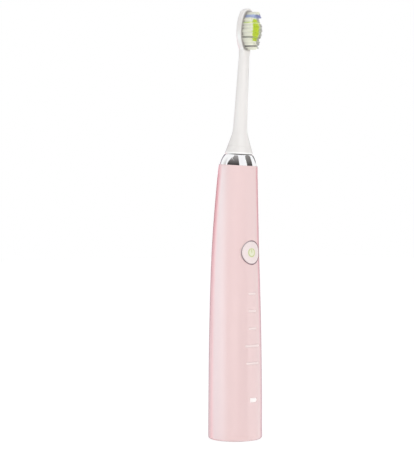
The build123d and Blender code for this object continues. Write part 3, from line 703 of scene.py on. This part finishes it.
def soft_max(first, second, blend):
    """The larger of two sizes, with the change between them rounded off."""
    return (first + second + math.sqrt((first - second) ** 2 + 4 * blend**2)) / 2


def tube_radius(height):
    """Radius of the neck's tube: a straight flare that eases into a slim taper."""
    flared = WAIST_RADIUS + (WAIST - height) * flare
    slim = WAIST_RADIUS - (height - WAIST) * (WAIST_RADIUS - TAPER_RADIUS) / (TAPER_END - WAIST)
    return soft_max(flared, slim, WAIST_BLEND)


def tip_round(height, edge):
    """How far a rounded edge draws the plate in near its upper tip."""
    inward = max(0.0, edge - (PLATE_MIDDLE + PLATE_HALF_LENGTH - height))
    return edge - math.sqrt(max(0.0, edge**2 - inward**2))


print("neck is", round(2 * tube_radius(TAPER_END), 2), "mm thick below the plate")

# %% [markdown]
# Every ring of the loft is a rounded oval with its own half width, its depth to
# the front and to the back, and a squareness for each. Where the tube turns
# into the plate, the front grows square and flat and the back stays round.

# %% Neck and bristle plate
PLATE_FACE, PLATE_BACK, BACK_EDGE, FACE_EDGE = 2.4, 3.0, 2.4, 0.5
TURN_START, TURN_END = 62, 69
FRONT_SQUARE, BACK_SQUARE = 5, 0.7
PLATE_BLEND, BLEND_BELOW = 0.3, 4
RING_POINTS, TUBE_RINGS, TIP_RINGS = 96, 150, 60


def neck_ring(height):
    """Ring of points round the neck or the plate at one height."""
    tube = tube_radius(height)
    reach = (height - PLATE_MIDDLE) / PLATE_HALF_LENGTH
    plate = PLATE_HALF_WIDTH * math.sqrt(max(0.0, 1 - reach**2))
    half_width = soft_max(tube, plate, PLATE_BLEND) if height < PLATE_MIDDLE - BLEND_BELOW else plate
    turn = eased(height, TURN_START, TURN_END)
    front = tube + (PLATE_FACE - tube) * turn - tip_round(height, FACE_EDGE)
    back = tube + (PLATE_BACK - tube) * turn - tip_round(height, BACK_EDGE)
    front_power = 2 / (2 + FRONT_SQUARE * turn)
    back_power = 2 / (2 + BACK_SQUARE * turn)
    ring = []
    for k in range(RING_POINTS):
        angle = 2 * math.pi * k / RING_POINTS
        c, s = math.cos(angle), math.sin(angle)
        power, depth = (back_power, back) if s > 0 else (front_power, front)
        right = math.copysign(half_width * abs(c) ** power, c)
        ring.append(on_shaft(right, math.copysign(depth * abs(s) ** power, s), height))
    return ring


seam_round = [(ring_top_radius - SEAM, RING_TOP), (ring_top_radius - nick, RING_TOP + nick)]
rings = [circle(radius, height, RING_POINTS) for radius, height in seam_round]
tube_foot = RING_TOP + SEAM
tube_heights = [tube_foot + (PLATE_MIDDLE - tube_foot) * i / TUBE_RINGS for i in range(TUBE_RINGS)]
tip_turns = [math.radians(90) * i / TIP_RINGS for i in range(TIP_RINGS)]
tip_heights = [PLATE_MIDDLE + PLATE_HALF_LENGTH * math.sin(t) for t in tip_turns]
rings += [neck_ring(height) for height in tube_heights + tip_heights]
dress(joined("neck", rings, loop=False), "brush_head", "white_moulding", "brush_neck")

# %% [markdown]
# ## The bristles
#
# Hundreds of filaments stand in tufts, cut to different lengths row by row.
# That is work for Geometry Nodes. The tree lays a staggered grid over the
# plate, keeps the tufts of one colour, and puts a bundle of filaments on each.
# Hair particles could grow there as well, but they would not keep the rows.
# A named input picks the colour, so one tree makes all three.

# %% Inputs of the tree of tufts
TUFT_INPUTS = {
    "Colour": ("NodeSocketInt", 0),
    "Pitch": ("NodeSocketFloat", 0.94 * MM),
    "Row Pitch": ("NodeSocketFloat", 0.83 * MM),
    "Tuft Radius": ("NodeSocketFloat", 0.4 * MM),
    "Filaments": ("NodeSocketInt", 14),
    "Filament Radius": ("NodeSocketFloat", 0.1 * MM),
    "Row Shift": ("NodeSocketFloat", -0.5 * MM),
    "Field Middle": ("NodeSocketFloat", FIELD_MIDDLE * MM),
    "Half Width": ("NodeSocketFloat", 4.55 * MM),
    "Half Length": ("NodeSocketFloat", FIELD_HALF_LENGTH * MM),
    "Green Half Width": ("NodeSocketFloat", 2.9 * MM),
    "Green Half Length": ("NodeSocketFloat", 6.6 * MM),
    "Length": ("NodeSocketFloat", 7.2 * MM),
    "Seed": ("NodeSocketInt", 7),
    "Nylon": ("NodeSocketMaterial", None),
}
tufts = bpy.data.node_groups.new("tufts", "GeometryNodeTree")
identifiers = {}
for name, (kind, value) in TUFT_INPUTS.items():
    socket = tufts.interface.new_socket(name, in_out="INPUT", socket_type=kind)
    if value is not None:
        socket.default_value = value
    identifiers[name] = socket.identifier
tufts.interface.new_socket("Bristles", in_out="OUTPUT", socket_type="NodeSocketGeometry")

grow = Nodes(tufts)
group_input = tufts.nodes.new("NodeGroupInput")
given = {name: Term(grow, group_input.outputs[name]) for name in TUFT_INPUTS}
print("inputs of the tree:", ", ".join(TUFT_INPUTS))

# %% [markdown]
# One filament is a short curve with a five-sided tube round it, slimmer at its
# rounded tip. A curve knows how far along itself each point is, and storing
# that number as an attribute lets the finish darken the roots as painted shade.
# It is one metre tall here, and scaled to its length later.

# %% One filament
SIDES, CURVE_POINTS = 5, 5
SLIM_POWER, SLIM_SHARE = 8, 0.55

line = grow.add("GeometryNodeCurvePrimitiveLine", {}, {"End": (0, 0, 1)})
line = grow.add("GeometryNodeResampleCurve", {}, {"Curve": line, "Count": CURVE_POINTS})
way = grow.add("GeometryNodeSplineParameter", output="Factor")
slim = 1 - (way**SLIM_POWER) * SLIM_SHARE
line = grow.add("GeometryNodeSetCurveRadius", {}, {"Curve": line, "Radius": slim})
rise_inputs = {"Geometry": line, "Name": "rise", "Value": way}
line = grow.add("GeometryNodeStoreNamedAttribute", {"data_type": "FLOAT"}, rise_inputs)
circle_inputs = {"Resolution": SIDES, "Radius": given["Filament Radius"]}
outline = grow.add("GeometryNodeCurvePrimitiveCircle", {}, circle_inputs)
tube_inputs = {"Curve": line, "Profile Curve": outline, "Fill Caps": True}
filament = grow.add("GeometryNodeCurveToMesh", {}, tube_inputs)
print("one filament has", SIDES, "sides")

# %% [markdown]
# A tuft is a bundle of filaments pressed into one round hole of the plate.
# Random places would leave gaps, so the filaments follow a sunflower spiral,
# which fills a round hole evenly. Each is cut a little shorter by chance.

# %% A bundle of filaments
GOLDEN_ANGLE = math.radians(137.508)
SHORTEST = 0.965

index = grow.add("GeometryNodeInputIndex")
spread = ((index + 0.5) / given["Filaments"]) ** 0.5 * given["Tuft Radius"]
spiral = index * GOLDEN_ANGLE
east = spread * grow.add("ShaderNodeMath", {"operation": "COSINE"}, {0: spiral})
north = spread * grow.add("ShaderNodeMath", {"operation": "SINE"}, {0: spiral})
spot = grow.add("ShaderNodeCombineXYZ", {}, {"X": east, "Y": north})
holes = grow.add("GeometryNodePoints", {}, {"Count": given["Filaments"], "Position": spot})


def chance(low, high):
    """Random number for each point or copy."""
    inputs = {2: low, 3: high, "Seed": given["Seed"]}
    return grow.add("FunctionNodeRandomValue", {"data_type": "FLOAT"}, inputs, output=1)


stretch = grow.add("ShaderNodeCombineXYZ", {}, {"X": 1.0, "Y": 1.0, "Z": chance(SHORTEST, 1.0)})
bundle_inputs = {"Points": holes, "Instance": filament, "Scale": stretch}
bundle = grow.add("GeometryNodeInstanceOnPoints", {}, bundle_inputs)
print("one bundle has", TUFT_INPUTS["Filaments"][1], "filaments")

# %% [markdown]
# Now the tufts' places. Rows of a grid are shifted by half a pitch in turn.
# Whether a tuft is white, green or blue depends on where it stands: blue in
# one band near the tip, green in an oval and one row in the middle, white
# elsewhere. Two rows part the blocks: they lack their outermost tufts, and so
# lie in shade. A comparison gives 1 or 0, so products of comparisons stand for
# "and".

# %% Places and colours of the tufts
COLUMNS, ROWS = 13, 29
FIELD_EDGE = 0.97
BLUE_LOW, BLUE_HIGH = 6.5, 8.2
GREEN_LOW, GREEN_HIGH = 3.2, 4.05
UPPER_PARTING, LOWER_PARTING = (-5.07, -4.2), (-10.05, -9.2)

pitch = given["Pitch"]
grid = grow.add("GeometryNodeMeshGrid", {}, {
    "Size X": pitch * (COLUMNS - 1), "Size Y": given["Row Pitch"] * (ROWS - 1),
    "Vertices X": COLUMNS, "Vertices Y": ROWS,
})
position = grow.add("GeometryNodeInputPosition")
u, v = [grow.add("ShaderNodeSeparateXYZ", {}, {0: position}, output=axis) for axis in "XY"]
row = grow.add("ShaderNodeMath", {"operation": "ROUND"}, {0: v / given["Row Pitch"]})
sideways = ((row % 2) - 0.5) * pitch * 0.5
shift = grow.add("ShaderNodeCombineXYZ", {}, {"X": sideways, "Y": given["Row Shift"]})
grid = grow.add("GeometryNodeSetPosition", {}, {"Geometry": grid, "Offset": shift})


def between(low, high):
    """1 where a tuft stands between two heights in millimetres from the plate's middle."""
    return (v > low * MM) * (v < high * MM)


along_field = (v - given["Field Middle"]) / given["Half Length"]
inside_field = ((u / given["Half Width"]) ** 2 + along_field**2) < FIELD_EDGE
along_green = (v - given["Row Shift"]) / given["Green Half Length"]
in_green = ((u / given["Green Half Width"]) ** 2 + along_green**2) < 1.0
in_blue = between(BLUE_LOW, BLUE_HIGH)
green_row = between(GREEN_LOW, GREEN_HIGH)
parting = between(*UPPER_PARTING) + between(*LOWER_PARTING)
outermost = ((u / (given["Half Width"] - pitch)) ** 2 + along_field**2) > FIELD_EDGE
white_here = inside_field * (1 - in_blue) * (1 - in_green) * (1 - green_row) * (1 - parting * outermost)
green_here = inside_field * (in_green + green_row - in_green * green_row) * (1 - in_blue)
blue_here = inside_field * in_blue
colour = given["Colour"]
kept = (colour < 0.5) * white_here + (colour > 1.5) * blue_here
kept = kept + (colour > 0.5) * (colour < 1.5) * green_here
print("grid of", COLUMNS, "by", ROWS, "places")

# %% [markdown]
# The tufts are trimmed in blocks. The tip stands proud, the block below the
# blue band is short, the green middle dips, and the lower block slants. Each
# block adds its own millimetres to the common length.

# %% Lengths of the tufts
FIELD_END = 12
SLANT_LOW, SLANT_RUN, SLANT_DROP = -9.65, 5, -1.8
MIDDLE_LOW, GREEN_DIP = -4.7, -0.8
STEPS = [
    (BLUE_HIGH, FIELD_END, 0.8),
    (BLUE_LOW, BLUE_HIGH, -0.2),
    (GREEN_LOW, BLUE_LOW, -1.8),
    (-FIELD_END, SLANT_LOW, 0.4),
]
slope = (v / MM - SLANT_LOW) / SLANT_RUN * SLANT_DROP
extra = between(SLANT_LOW, MIDDLE_LOW) * slope + green_here * between(MIDDLE_LOW, GREEN_LOW) * GREEN_DIP
for low, high, step in STEPS:
    extra = extra + between(low, high) * step
tall = given["Length"] + extra * MM
print("trimmed in", len(STEPS) + 2, "blocks")

# %% [markdown]
# Every kept place gets one bundle, turned at random and leaning by a degree or
# so, because a real tuft is never quite straight. Two attributes go with each
# bundle for the finish: its shade, a random tone that the parting rows push
# below nought for painted shade, and whether its tips take another tone, which
# is painted shade at the white field's right, a painted highlight in one green
# row and violet in half the blue band. The tree ends by making the copies real and giving them their nylon.

# %% Bundles on their places
LEAN = 0.02
PARTING_SHADE_DEPTH, GREEN_RELIEF = 4, 2.5
GREY_TIPS, VIOLET_TIPS = 1.1, -0.3

places = grow.add("GeometryNodeMeshToPoints", {}, {"Mesh": grid, "Selection": kept})
lean = grow.add("FunctionNodeRandomValue", {"data_type": "FLOAT_VECTOR"}, {
    0: (-LEAN, -LEAN, 0), 1: (LEAN, LEAN, 2 * math.pi), "Seed": given["Seed"],
})
scale = grow.add("ShaderNodeCombineXYZ", {}, {"X": 1.0, "Y": 1.0, "Z": tall})
brush = grow.add("GeometryNodeInstanceOnPoints", {}, {
    "Points": places, "Instance": bundle, "Rotation": lean, "Scale": scale,
})
# The parting rows get a shade below nought, which the nylon turns into painted shade at their roots.
tint = chance(0.0, 1.0) - parting * (PARTING_SHADE_DEPTH - green_here * GREEN_RELIEF)
# Marked tips: painted shade at the white field's right, a painted highlight in one green row, violet in
# half the blue band.
trimmed = white_here * (u > GREY_TIPS * MM) + green_here * green_row + blue_here * (u > VIOLET_TIPS * MM)
for name, value in {"shade": tint, "trimmed": trimmed}.items():
    brush = grow.add(
        "GeometryNodeStoreNamedAttribute",
        {"data_type": "FLOAT", "domain": "INSTANCE"},
        {"Geometry": brush, "Name": name, "Value": value},
    )
brush = grow.add("GeometryNodeRealizeInstances", {}, {"Geometry": brush})
brush = grow.add("GeometryNodeSetMaterial", {}, {"Geometry": brush, "Material": given["Nylon"]})
group_output = tufts.nodes.new("NodeGroupOutput")
tufts.links.new(brush.socket, group_output.inputs[0])
print("tree has", len(tufts.nodes), "nodes")

# %% [markdown]
# The tree is run three times, once a colour. The result becomes a plain mesh,
# and its place on the plate is written into its points. On the plate the
# filaments point forward, along what is upward in the tree's own frame. Their
# roots start a little inside the plate, so that no gap shows.

# %% White, green and blue bristles
ROOT_DEPTH = 0.1
plate = Matrix.Identity(4)
plate.col[0].xyz = across
plate.col[1].xyz = along
plate.col[2].xyz = -behind
plate.col[3].xyz = on_shaft(0, -PLATE_FACE + ROOT_DEPTH, PLATE_MIDDLE)

for number, name in enumerate(["bristles_white", "bristles_green", "bristles_blue"]):
    slot = name.replace("bristles", "bristle")
    holder = bpy.data.objects.new("holder", bpy.data.meshes.new("holder"))
    bpy.context.scene.collection.objects.link(holder)
    modifier = holder.modifiers.new("tufts", "NODES")
    modifier.node_group = tufts
    modifier[identifiers["Colour"]] = number
    modifier[identifiers["Seed"]] = TUFT_INPUTS["Seed"][1] + number
    modifier[identifiers["Nylon"]] = finishes[slot]
    evaluated = holder.evaluated_get(bpy.context.evaluated_depsgraph_get())
    mesh = bpy.data.meshes.new_from_object(evaluated)
    holder.modifiers.remove(modifier)
    bpy.data.objects.remove(holder)
    mesh.transform(plate)
    mesh.shade_smooth()
    mesh.name = name.replace("bristles", "tufts")
    piece = bpy.data.objects.new(mesh.name, mesh)
    bpy.context.scene.collection.objects.link(piece)
    dress(piece, "brush_head", slot, name)

# %% [markdown]
# ## The studio
#
# A plain white studio: a pale floor, a soft light from each side and one from
# above. To the lens the floor glows white, so that it has no edge against the
# white world behind it. It keeps a part of its own shading, and with it the
# brush's shadow, and it stays out of reflections.

# %% Floor
FLOOR_HALF = 4
PAPER_SHARE, PAPER_STRENGTH = 0.7, 1.25

floor_mesh = bpy.data.meshes.new("floor")
floor_corners = [(x * FLOOR_HALF, y * FLOOR_HALF, 0) for x, y in [(-1, -1), (1, -1), (1, 1), (-1, 1)]]
floor_mesh.from_pydata(floor_corners, [], [(0, 1, 2, 3)])
floor = bpy.data.objects.new("floor", floor_mesh)
bpy.context.scene.collection.objects.link(floor)


def seen(tree):
    """1 for what the lens, a bright piece or a clear piece sees."""
    rays = ("Camera", "Glossy", "Transmission")
    paths = [tree.add("ShaderNodeLightPath", output=f"Is {ray} Ray") for ray in rays]
    total = paths[0] + paths[1] + paths[2]
    return tree.add("ShaderNodeMath", {"operation": "MINIMUM"}, {0: total, 1: 1.0})


paper = Finish("floor_paper")
paper.set(Base_Color=(0.9, 0.9, 0.9), Roughness=0.8)
white_glow = paper.add("ShaderNodeEmission", {}, {"Color": (1, 1, 1, 1), "Strength": PAPER_STRENGTH})
shading = Term(paper, paper.shader.outputs[0])
paper_mix = paper.add("ShaderNodeMixShader", {}, {0: seen(paper) * PAPER_SHARE, 1: shading, 2: white_glow})
paper.tree.links.new(paper_mix.socket, paper.tree.nodes["Material Output"].inputs["Surface"])
floor_mesh.materials.append(paper.material)
floor.visible_glossy = False
floor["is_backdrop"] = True
print("floor of", 2 * FLOOR_HALF, "m")

# %% [markdown]
# The world is the air round the floor. A world as bright as it looks would
# wash out the form of the handle, so it lights the brush with half of the
# strength that it shows to the lens.

# %% World
DIM_AIR = 0.5

world = bpy.data.worlds.new("studio")
world.use_nodes = True
bpy.context.scene.world = world
sky = Nodes(world.node_tree)
air = world.node_tree.nodes["Background"]
air.inputs["Color"].default_value = (1, 1, 1, 1)
strength = seen(sky) * (1 - DIM_AIR) + DIM_AIR
world.node_tree.links.new(strength.socket, air.inputs["Strength"])
print("world lights with", DIM_AIR, "of what it shows")

# %% [markdown]
# Lamps give the shape of the handle: a broad soft one from the right front,
# a gentler one from the left and one from above. Each is aimed at the middle
# of the brush. They stay out of reflections, because cards will draw those.

# %% Lamps
MIDDLE = Vector((0, 0, 0.12))
LAMP_AWAY, LAMP_LEVEL = 1.2, 0.18
TOP_PLACE = Vector((0.1, -0.1, 1.3))
SIDE_SIZE, TOP_SIZE = (0.8, 0.34), (0.9, 0.9)


def around(turn, radius, height):
    """Place round the brush, at some degrees to the right of the lens."""
    angle = VIEW + math.radians(turn)
    return Vector((math.sin(angle) * radius, -math.cos(angle) * radius, height))


def lamp(name, place, size, watts):
    """Soft lamp with a width and a height, aimed at the brush."""
    data = bpy.data.lights.new(name, "AREA")
    data.shape = "RECTANGLE"
    data.size, data.size_y = size
    data.energy = watts
    lamp_object = bpy.data.objects.new(name, data)
    lamp_object.location = place
    lamp_object.rotation_euler = (MIDDLE - place).to_track_quat("-Z", "Y").to_euler()
    lamp_object.visible_glossy = False
    bpy.context.scene.collection.objects.link(lamp_object)


lamp("lamp_right", around(35, LAMP_AWAY, LAMP_LEVEL), SIDE_SIZE, 5.7)
lamp("lamp_left", around(-55, LAMP_AWAY, LAMP_LEVEL), SIDE_SIZE, 3.6)
lamp("lamp_top", TOP_PLACE, TOP_SIZE, 3.4)

# %% [markdown]
# Bright metal has no colour of its own: it shows the room. Photographers set
# white and black cards round it to draw its form. Here the cards are patches
# of a dome round the brush, seen only in reflections. Each is given by edges:
# an elevation and the turns, right of the lens, between which it reaches. A
# card may change its tone from its foot to its top, because real cards catch
# more light where they lean towards the lamps, and from one side to the other,
# which gives a reflection a soft edge.

# %% Cards on a dome
DOME, DOME_MIDDLE = 0.7, 0.16
ACROSS_STEPS, RISE_STEP = 24, 3


def on_dome(turn, elevation):
    """Place on the dome, at some degrees right of the lens and above the level."""
    rise = math.radians(elevation)
    return around(turn, DOME * math.cos(rise), DOME_MIDDLE + DOME * math.sin(rise))


def card_mesh(name, edges):
    """Patch of the dome between edges, with its share of height and of turn as attributes."""
    levels = [edges[0]]
    for first, last in zip(edges, edges[1:]):
        steps = math.ceil((last[0] - first[0]) / RISE_STEP)
        for i in range(1, steps + 1):
            levels.append([a + (b - a) * i / steps for a, b in zip(first, last)])
    shares = [i / ACROSS_STEPS for i in range(ACROSS_STEPS + 1)]
    places = [on_dome(start + (end - start) * i, level) for level, start, end in levels for i in shares]
    row = len(shares)
    corners = [i + row * level for level in range(len(levels) - 1) for i in range(ACROSS_STEPS)]
    mesh = bpy.data.meshes.new(name)
    mesh.from_pydata(places, [], [(i, i + 1, i + 1 + row, i + row) for i in corners])
    lowest, highest = places[0].z, places[-1].z
    risen = [(place.z - lowest) / (highest - lowest) for place in places]
    for word, values in {"turned": shares * len(levels), "risen": risen}.items():
        mesh.attributes.new(word, "FLOAT", "POINT").data.foreach_set("value", values)
    return mesh


print("dome of", 2 * DOME, "m round the brush")

# %% [markdown]
# A card glows by itself, so that its tone in a reflection is the tone that is
# asked for.

# %% A glowing card


def card(name, edges, foot, top, foot_end=None, top_end=None, strength=1.0):
    """Card with tones at its foot and top, and end tones where they change towards its last turn."""
    tint = Finish(name)
    rise = tint.attribute("risen")
    tone = tint.colours(rise, foot, top)
    if foot_end:
        tone = tint.colours(tint.attribute("turned"), tone, tint.colours(rise, foot_end, top_end))
    shine = tint.add("ShaderNodeEmission", {}, {"Color": tone, "Strength": strength})
    tint.tree.links.new(shine.socket, tint.tree.nodes["Material Output"].inputs["Surface"])
    piece = bpy.data.objects.new(name, card_mesh(name, edges))
    piece.data.materials.append(tint.material)
    piece.visible_camera = False
    piece.visible_diffuse = False
    piece.visible_shadow = False
    piece.visible_transmission = False
    bpy.context.scene.collection.objects.link(piece)
    piece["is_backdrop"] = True


def strip(low, high, start, end):
    """Edges of a card that keeps its two turns from one elevation to another."""
    return [(low, start, end), (high, start, end)]


print("cards glow in reflections only")

# %% [markdown]
# The handle sees the cards near the level and below. A misty one at the left
# makes the long pale streak. It fades into rose on its far side and has a soft
# edge on its near side, which swings left as it rises. Plain grey stands for
# the quiet front. The band and the side card right of it are dark or grey at
# the level and bright below, where the lower handle mirrors the floor.

# %% Cards for the handle's front
grey, dark, snow, rose = srgb(232, 232, 232), srgb(92, 91, 90), (1.0, 1.0, 1.0), (0.67, 0.28, 0.32)
mist_low, mist, mist_end = (0.5, 0.45, 0.52), (0.68, 0.95, 1.0), (0.27, 0.27, 0.27)
MIST, SIDE, BAND = 3.0, 1.7, 2.0
BOTTOM, BAND_LEVEL, SIDE_TOP, FADE_TOP = -60, -12, 5, 8
FADE_START, STREAK_START, FRONT_END, BAND_END, SIDE_END = -124, -96, 12, 55, 132
SOFT_LEFT, SOFT_RIGHT = -20, 7
streak_edge = [(-60, -36), (-18, -36), (-6.6, -42), (0, -50), (2.6, -56), (5.4, -64), (8, -75)]

card("card_fade", strip(BOTTOM, FADE_TOP, FADE_START, STREAK_START), rose, rose, mist_low, mist, MIST)
streak = [(level, STREAK_START, turn + SOFT_LEFT) for level, turn in streak_edge]
card("card_streak", streak, mist_low, mist, strength=MIST)
soft = [(level, turn + SOFT_LEFT, turn + SOFT_RIGHT) for level, turn in streak_edge]
card("card_soft", soft, mist_low, mist, mist_end, mist_end, MIST)
card("card_front", [(level, turn + SOFT_RIGHT, FRONT_END) for level, turn in streak_edge], grey, grey)
dark_top, grey_top = [tone / BAND for tone in dark], [tone / SIDE for tone in grey]
card("card_band_low", strip(BOTTOM, BAND_LEVEL, FRONT_END, BAND_END), snow, dark_top, strength=BAND)
card("card_band", strip(BAND_LEVEL, SIDE_TOP, FRONT_END, BAND_END), dark, dark)
card("card_side", strip(BOTTOM, SIDE_TOP, BAND_END, SIDE_END), snow, grey_top, strength=SIDE)
print("streak starts", STREAK_START, "degrees from the lens")

# %% [markdown]
# Along its two edges the handle mirrors what stands far behind it. Pale pink
# cards that deepen as they rise draw the fine pink line there, and darker ones
# straight behind the handle draw the outline itself. Higher up, two grey cards
# draw the thin outline that parts the white neck from a white room.

# %% Cards for the outlines
pale, deep = srgb(255, 220, 232), srgb(246, 64, 130)
dusk, wine = srgb(190, 160, 173), (0.4, 0.02, 0.05)
lavender, shadow = srgb(140, 132, 142), srgb(60, 57, 60)
FLOOR_TOP, BACK_TOP, EDGE_TOP, NECK_FOOT, NECK_TOP = -14, 3.7, 7.5, 8.5, 40
BACK_RIGHT, BACK_LEFT, EDGE_START, BACK_END = 148, 212, 190, 236
NECK_RIGHT, STRAIGHT_BACK, NECK_LEFT = 144, 180, 216
BACK = [
    ("right", SIDE_END, BACK_RIGHT, pale, deep),
    ("middle", BACK_RIGHT, BACK_LEFT, dusk, wine),
    ("left", BACK_LEFT, BACK_END, pale, deep),
]
for side, start, end, near, far in BACK:
    card(f"card_floor_{side}", strip(BOTTOM, FLOOR_TOP, start, end), near, near)
    card(f"card_back_{side}", strip(FLOOR_TOP, BACK_TOP, start, end), near, far)
card("card_back_edge", strip(BACK_TOP, EDGE_TOP, EDGE_START, BACK_END), deep, pale)
card("card_neck_right", strip(NECK_FOOT, NECK_TOP, NECK_RIGHT, STRAIGHT_BACK), shadow, shadow)
card("card_neck_left", strip(EDGE_TOP, NECK_TOP, STRAIGHT_BACK, NECK_LEFT), lavender, lavender)
print("back cards:", 2 * len(BACK))

# %% [markdown]
# The collar's shoulder looks higher up. Two dark panels show in it, one left
# of its middle and one at its right. The left one is made of three cards, with
# a pale ray between them, and grows lighter upwards. A pale card at the far
# left, grey on one side, is the corner of the room.

# %% Cards for the collar
low_tone, middle_tone, high_tone = srgb(24, 21, 21), srgb(112, 109, 108), srgb(168, 165, 164)
panel_low = [(9, -76, 8.6), (14, -74, 8), (25, -72, 6), (33, -67, 5)]
panel_left = [(33, -67, -28), (38.8, -63, -37), (43.5, -60.5, -49), (46.5, -59.5, -58.5)]
ray = [(33, -28, -24), (38.8, -37, -32.5), (43.5, -49, -42.5), (46.5, -58.5, -48), (50, -62, -51.5)]
panel_high = [
    (33, -24, 5), (38.8, -32.5, 4.2), (43.5, -42.5, 3.2), (46.5, -48, 2.8), (50, -51.5, 2),
    (55, -44, 0.5), (59, -50, -1), (62, -46, -2), (66, -40, -3),
]
panel_right = [
    (5, 57, 100), (16, 57, 100), (28, 57, 103), (33, 57.5, 109), (38, 58.5, 113),
    (42, 60, 111), (46, 63, 104), (50, 67, 97), (54, 74, 90),
]
room_corner = [(8, -112, -85), (40, -112, -87)]
corner_tones = srgb(238, 237, 235), snow, srgb(178, 176, 172), srgb(246, 246, 246)

card("card_panel_low", panel_low, low_tone, middle_tone)
card("card_panel_left", panel_left, middle_tone, high_tone)
card("card_ray", ray, srgb(128, 126, 125), srgb(240, 239, 238))
card("card_corner", room_corner, *corner_tones)
card("card_panel_high", panel_high, middle_tone, high_tone)
card("card_panel_right", panel_right, srgb(64, 61, 59), srgb(146, 143, 141))

# %% [markdown]
# Last, the dressed brush is measured, and the size of its box is printed.

# %% Sizes, and the end
low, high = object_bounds()
print("dressed box", [round(s / MM, 2) for s in high - low], "mm")
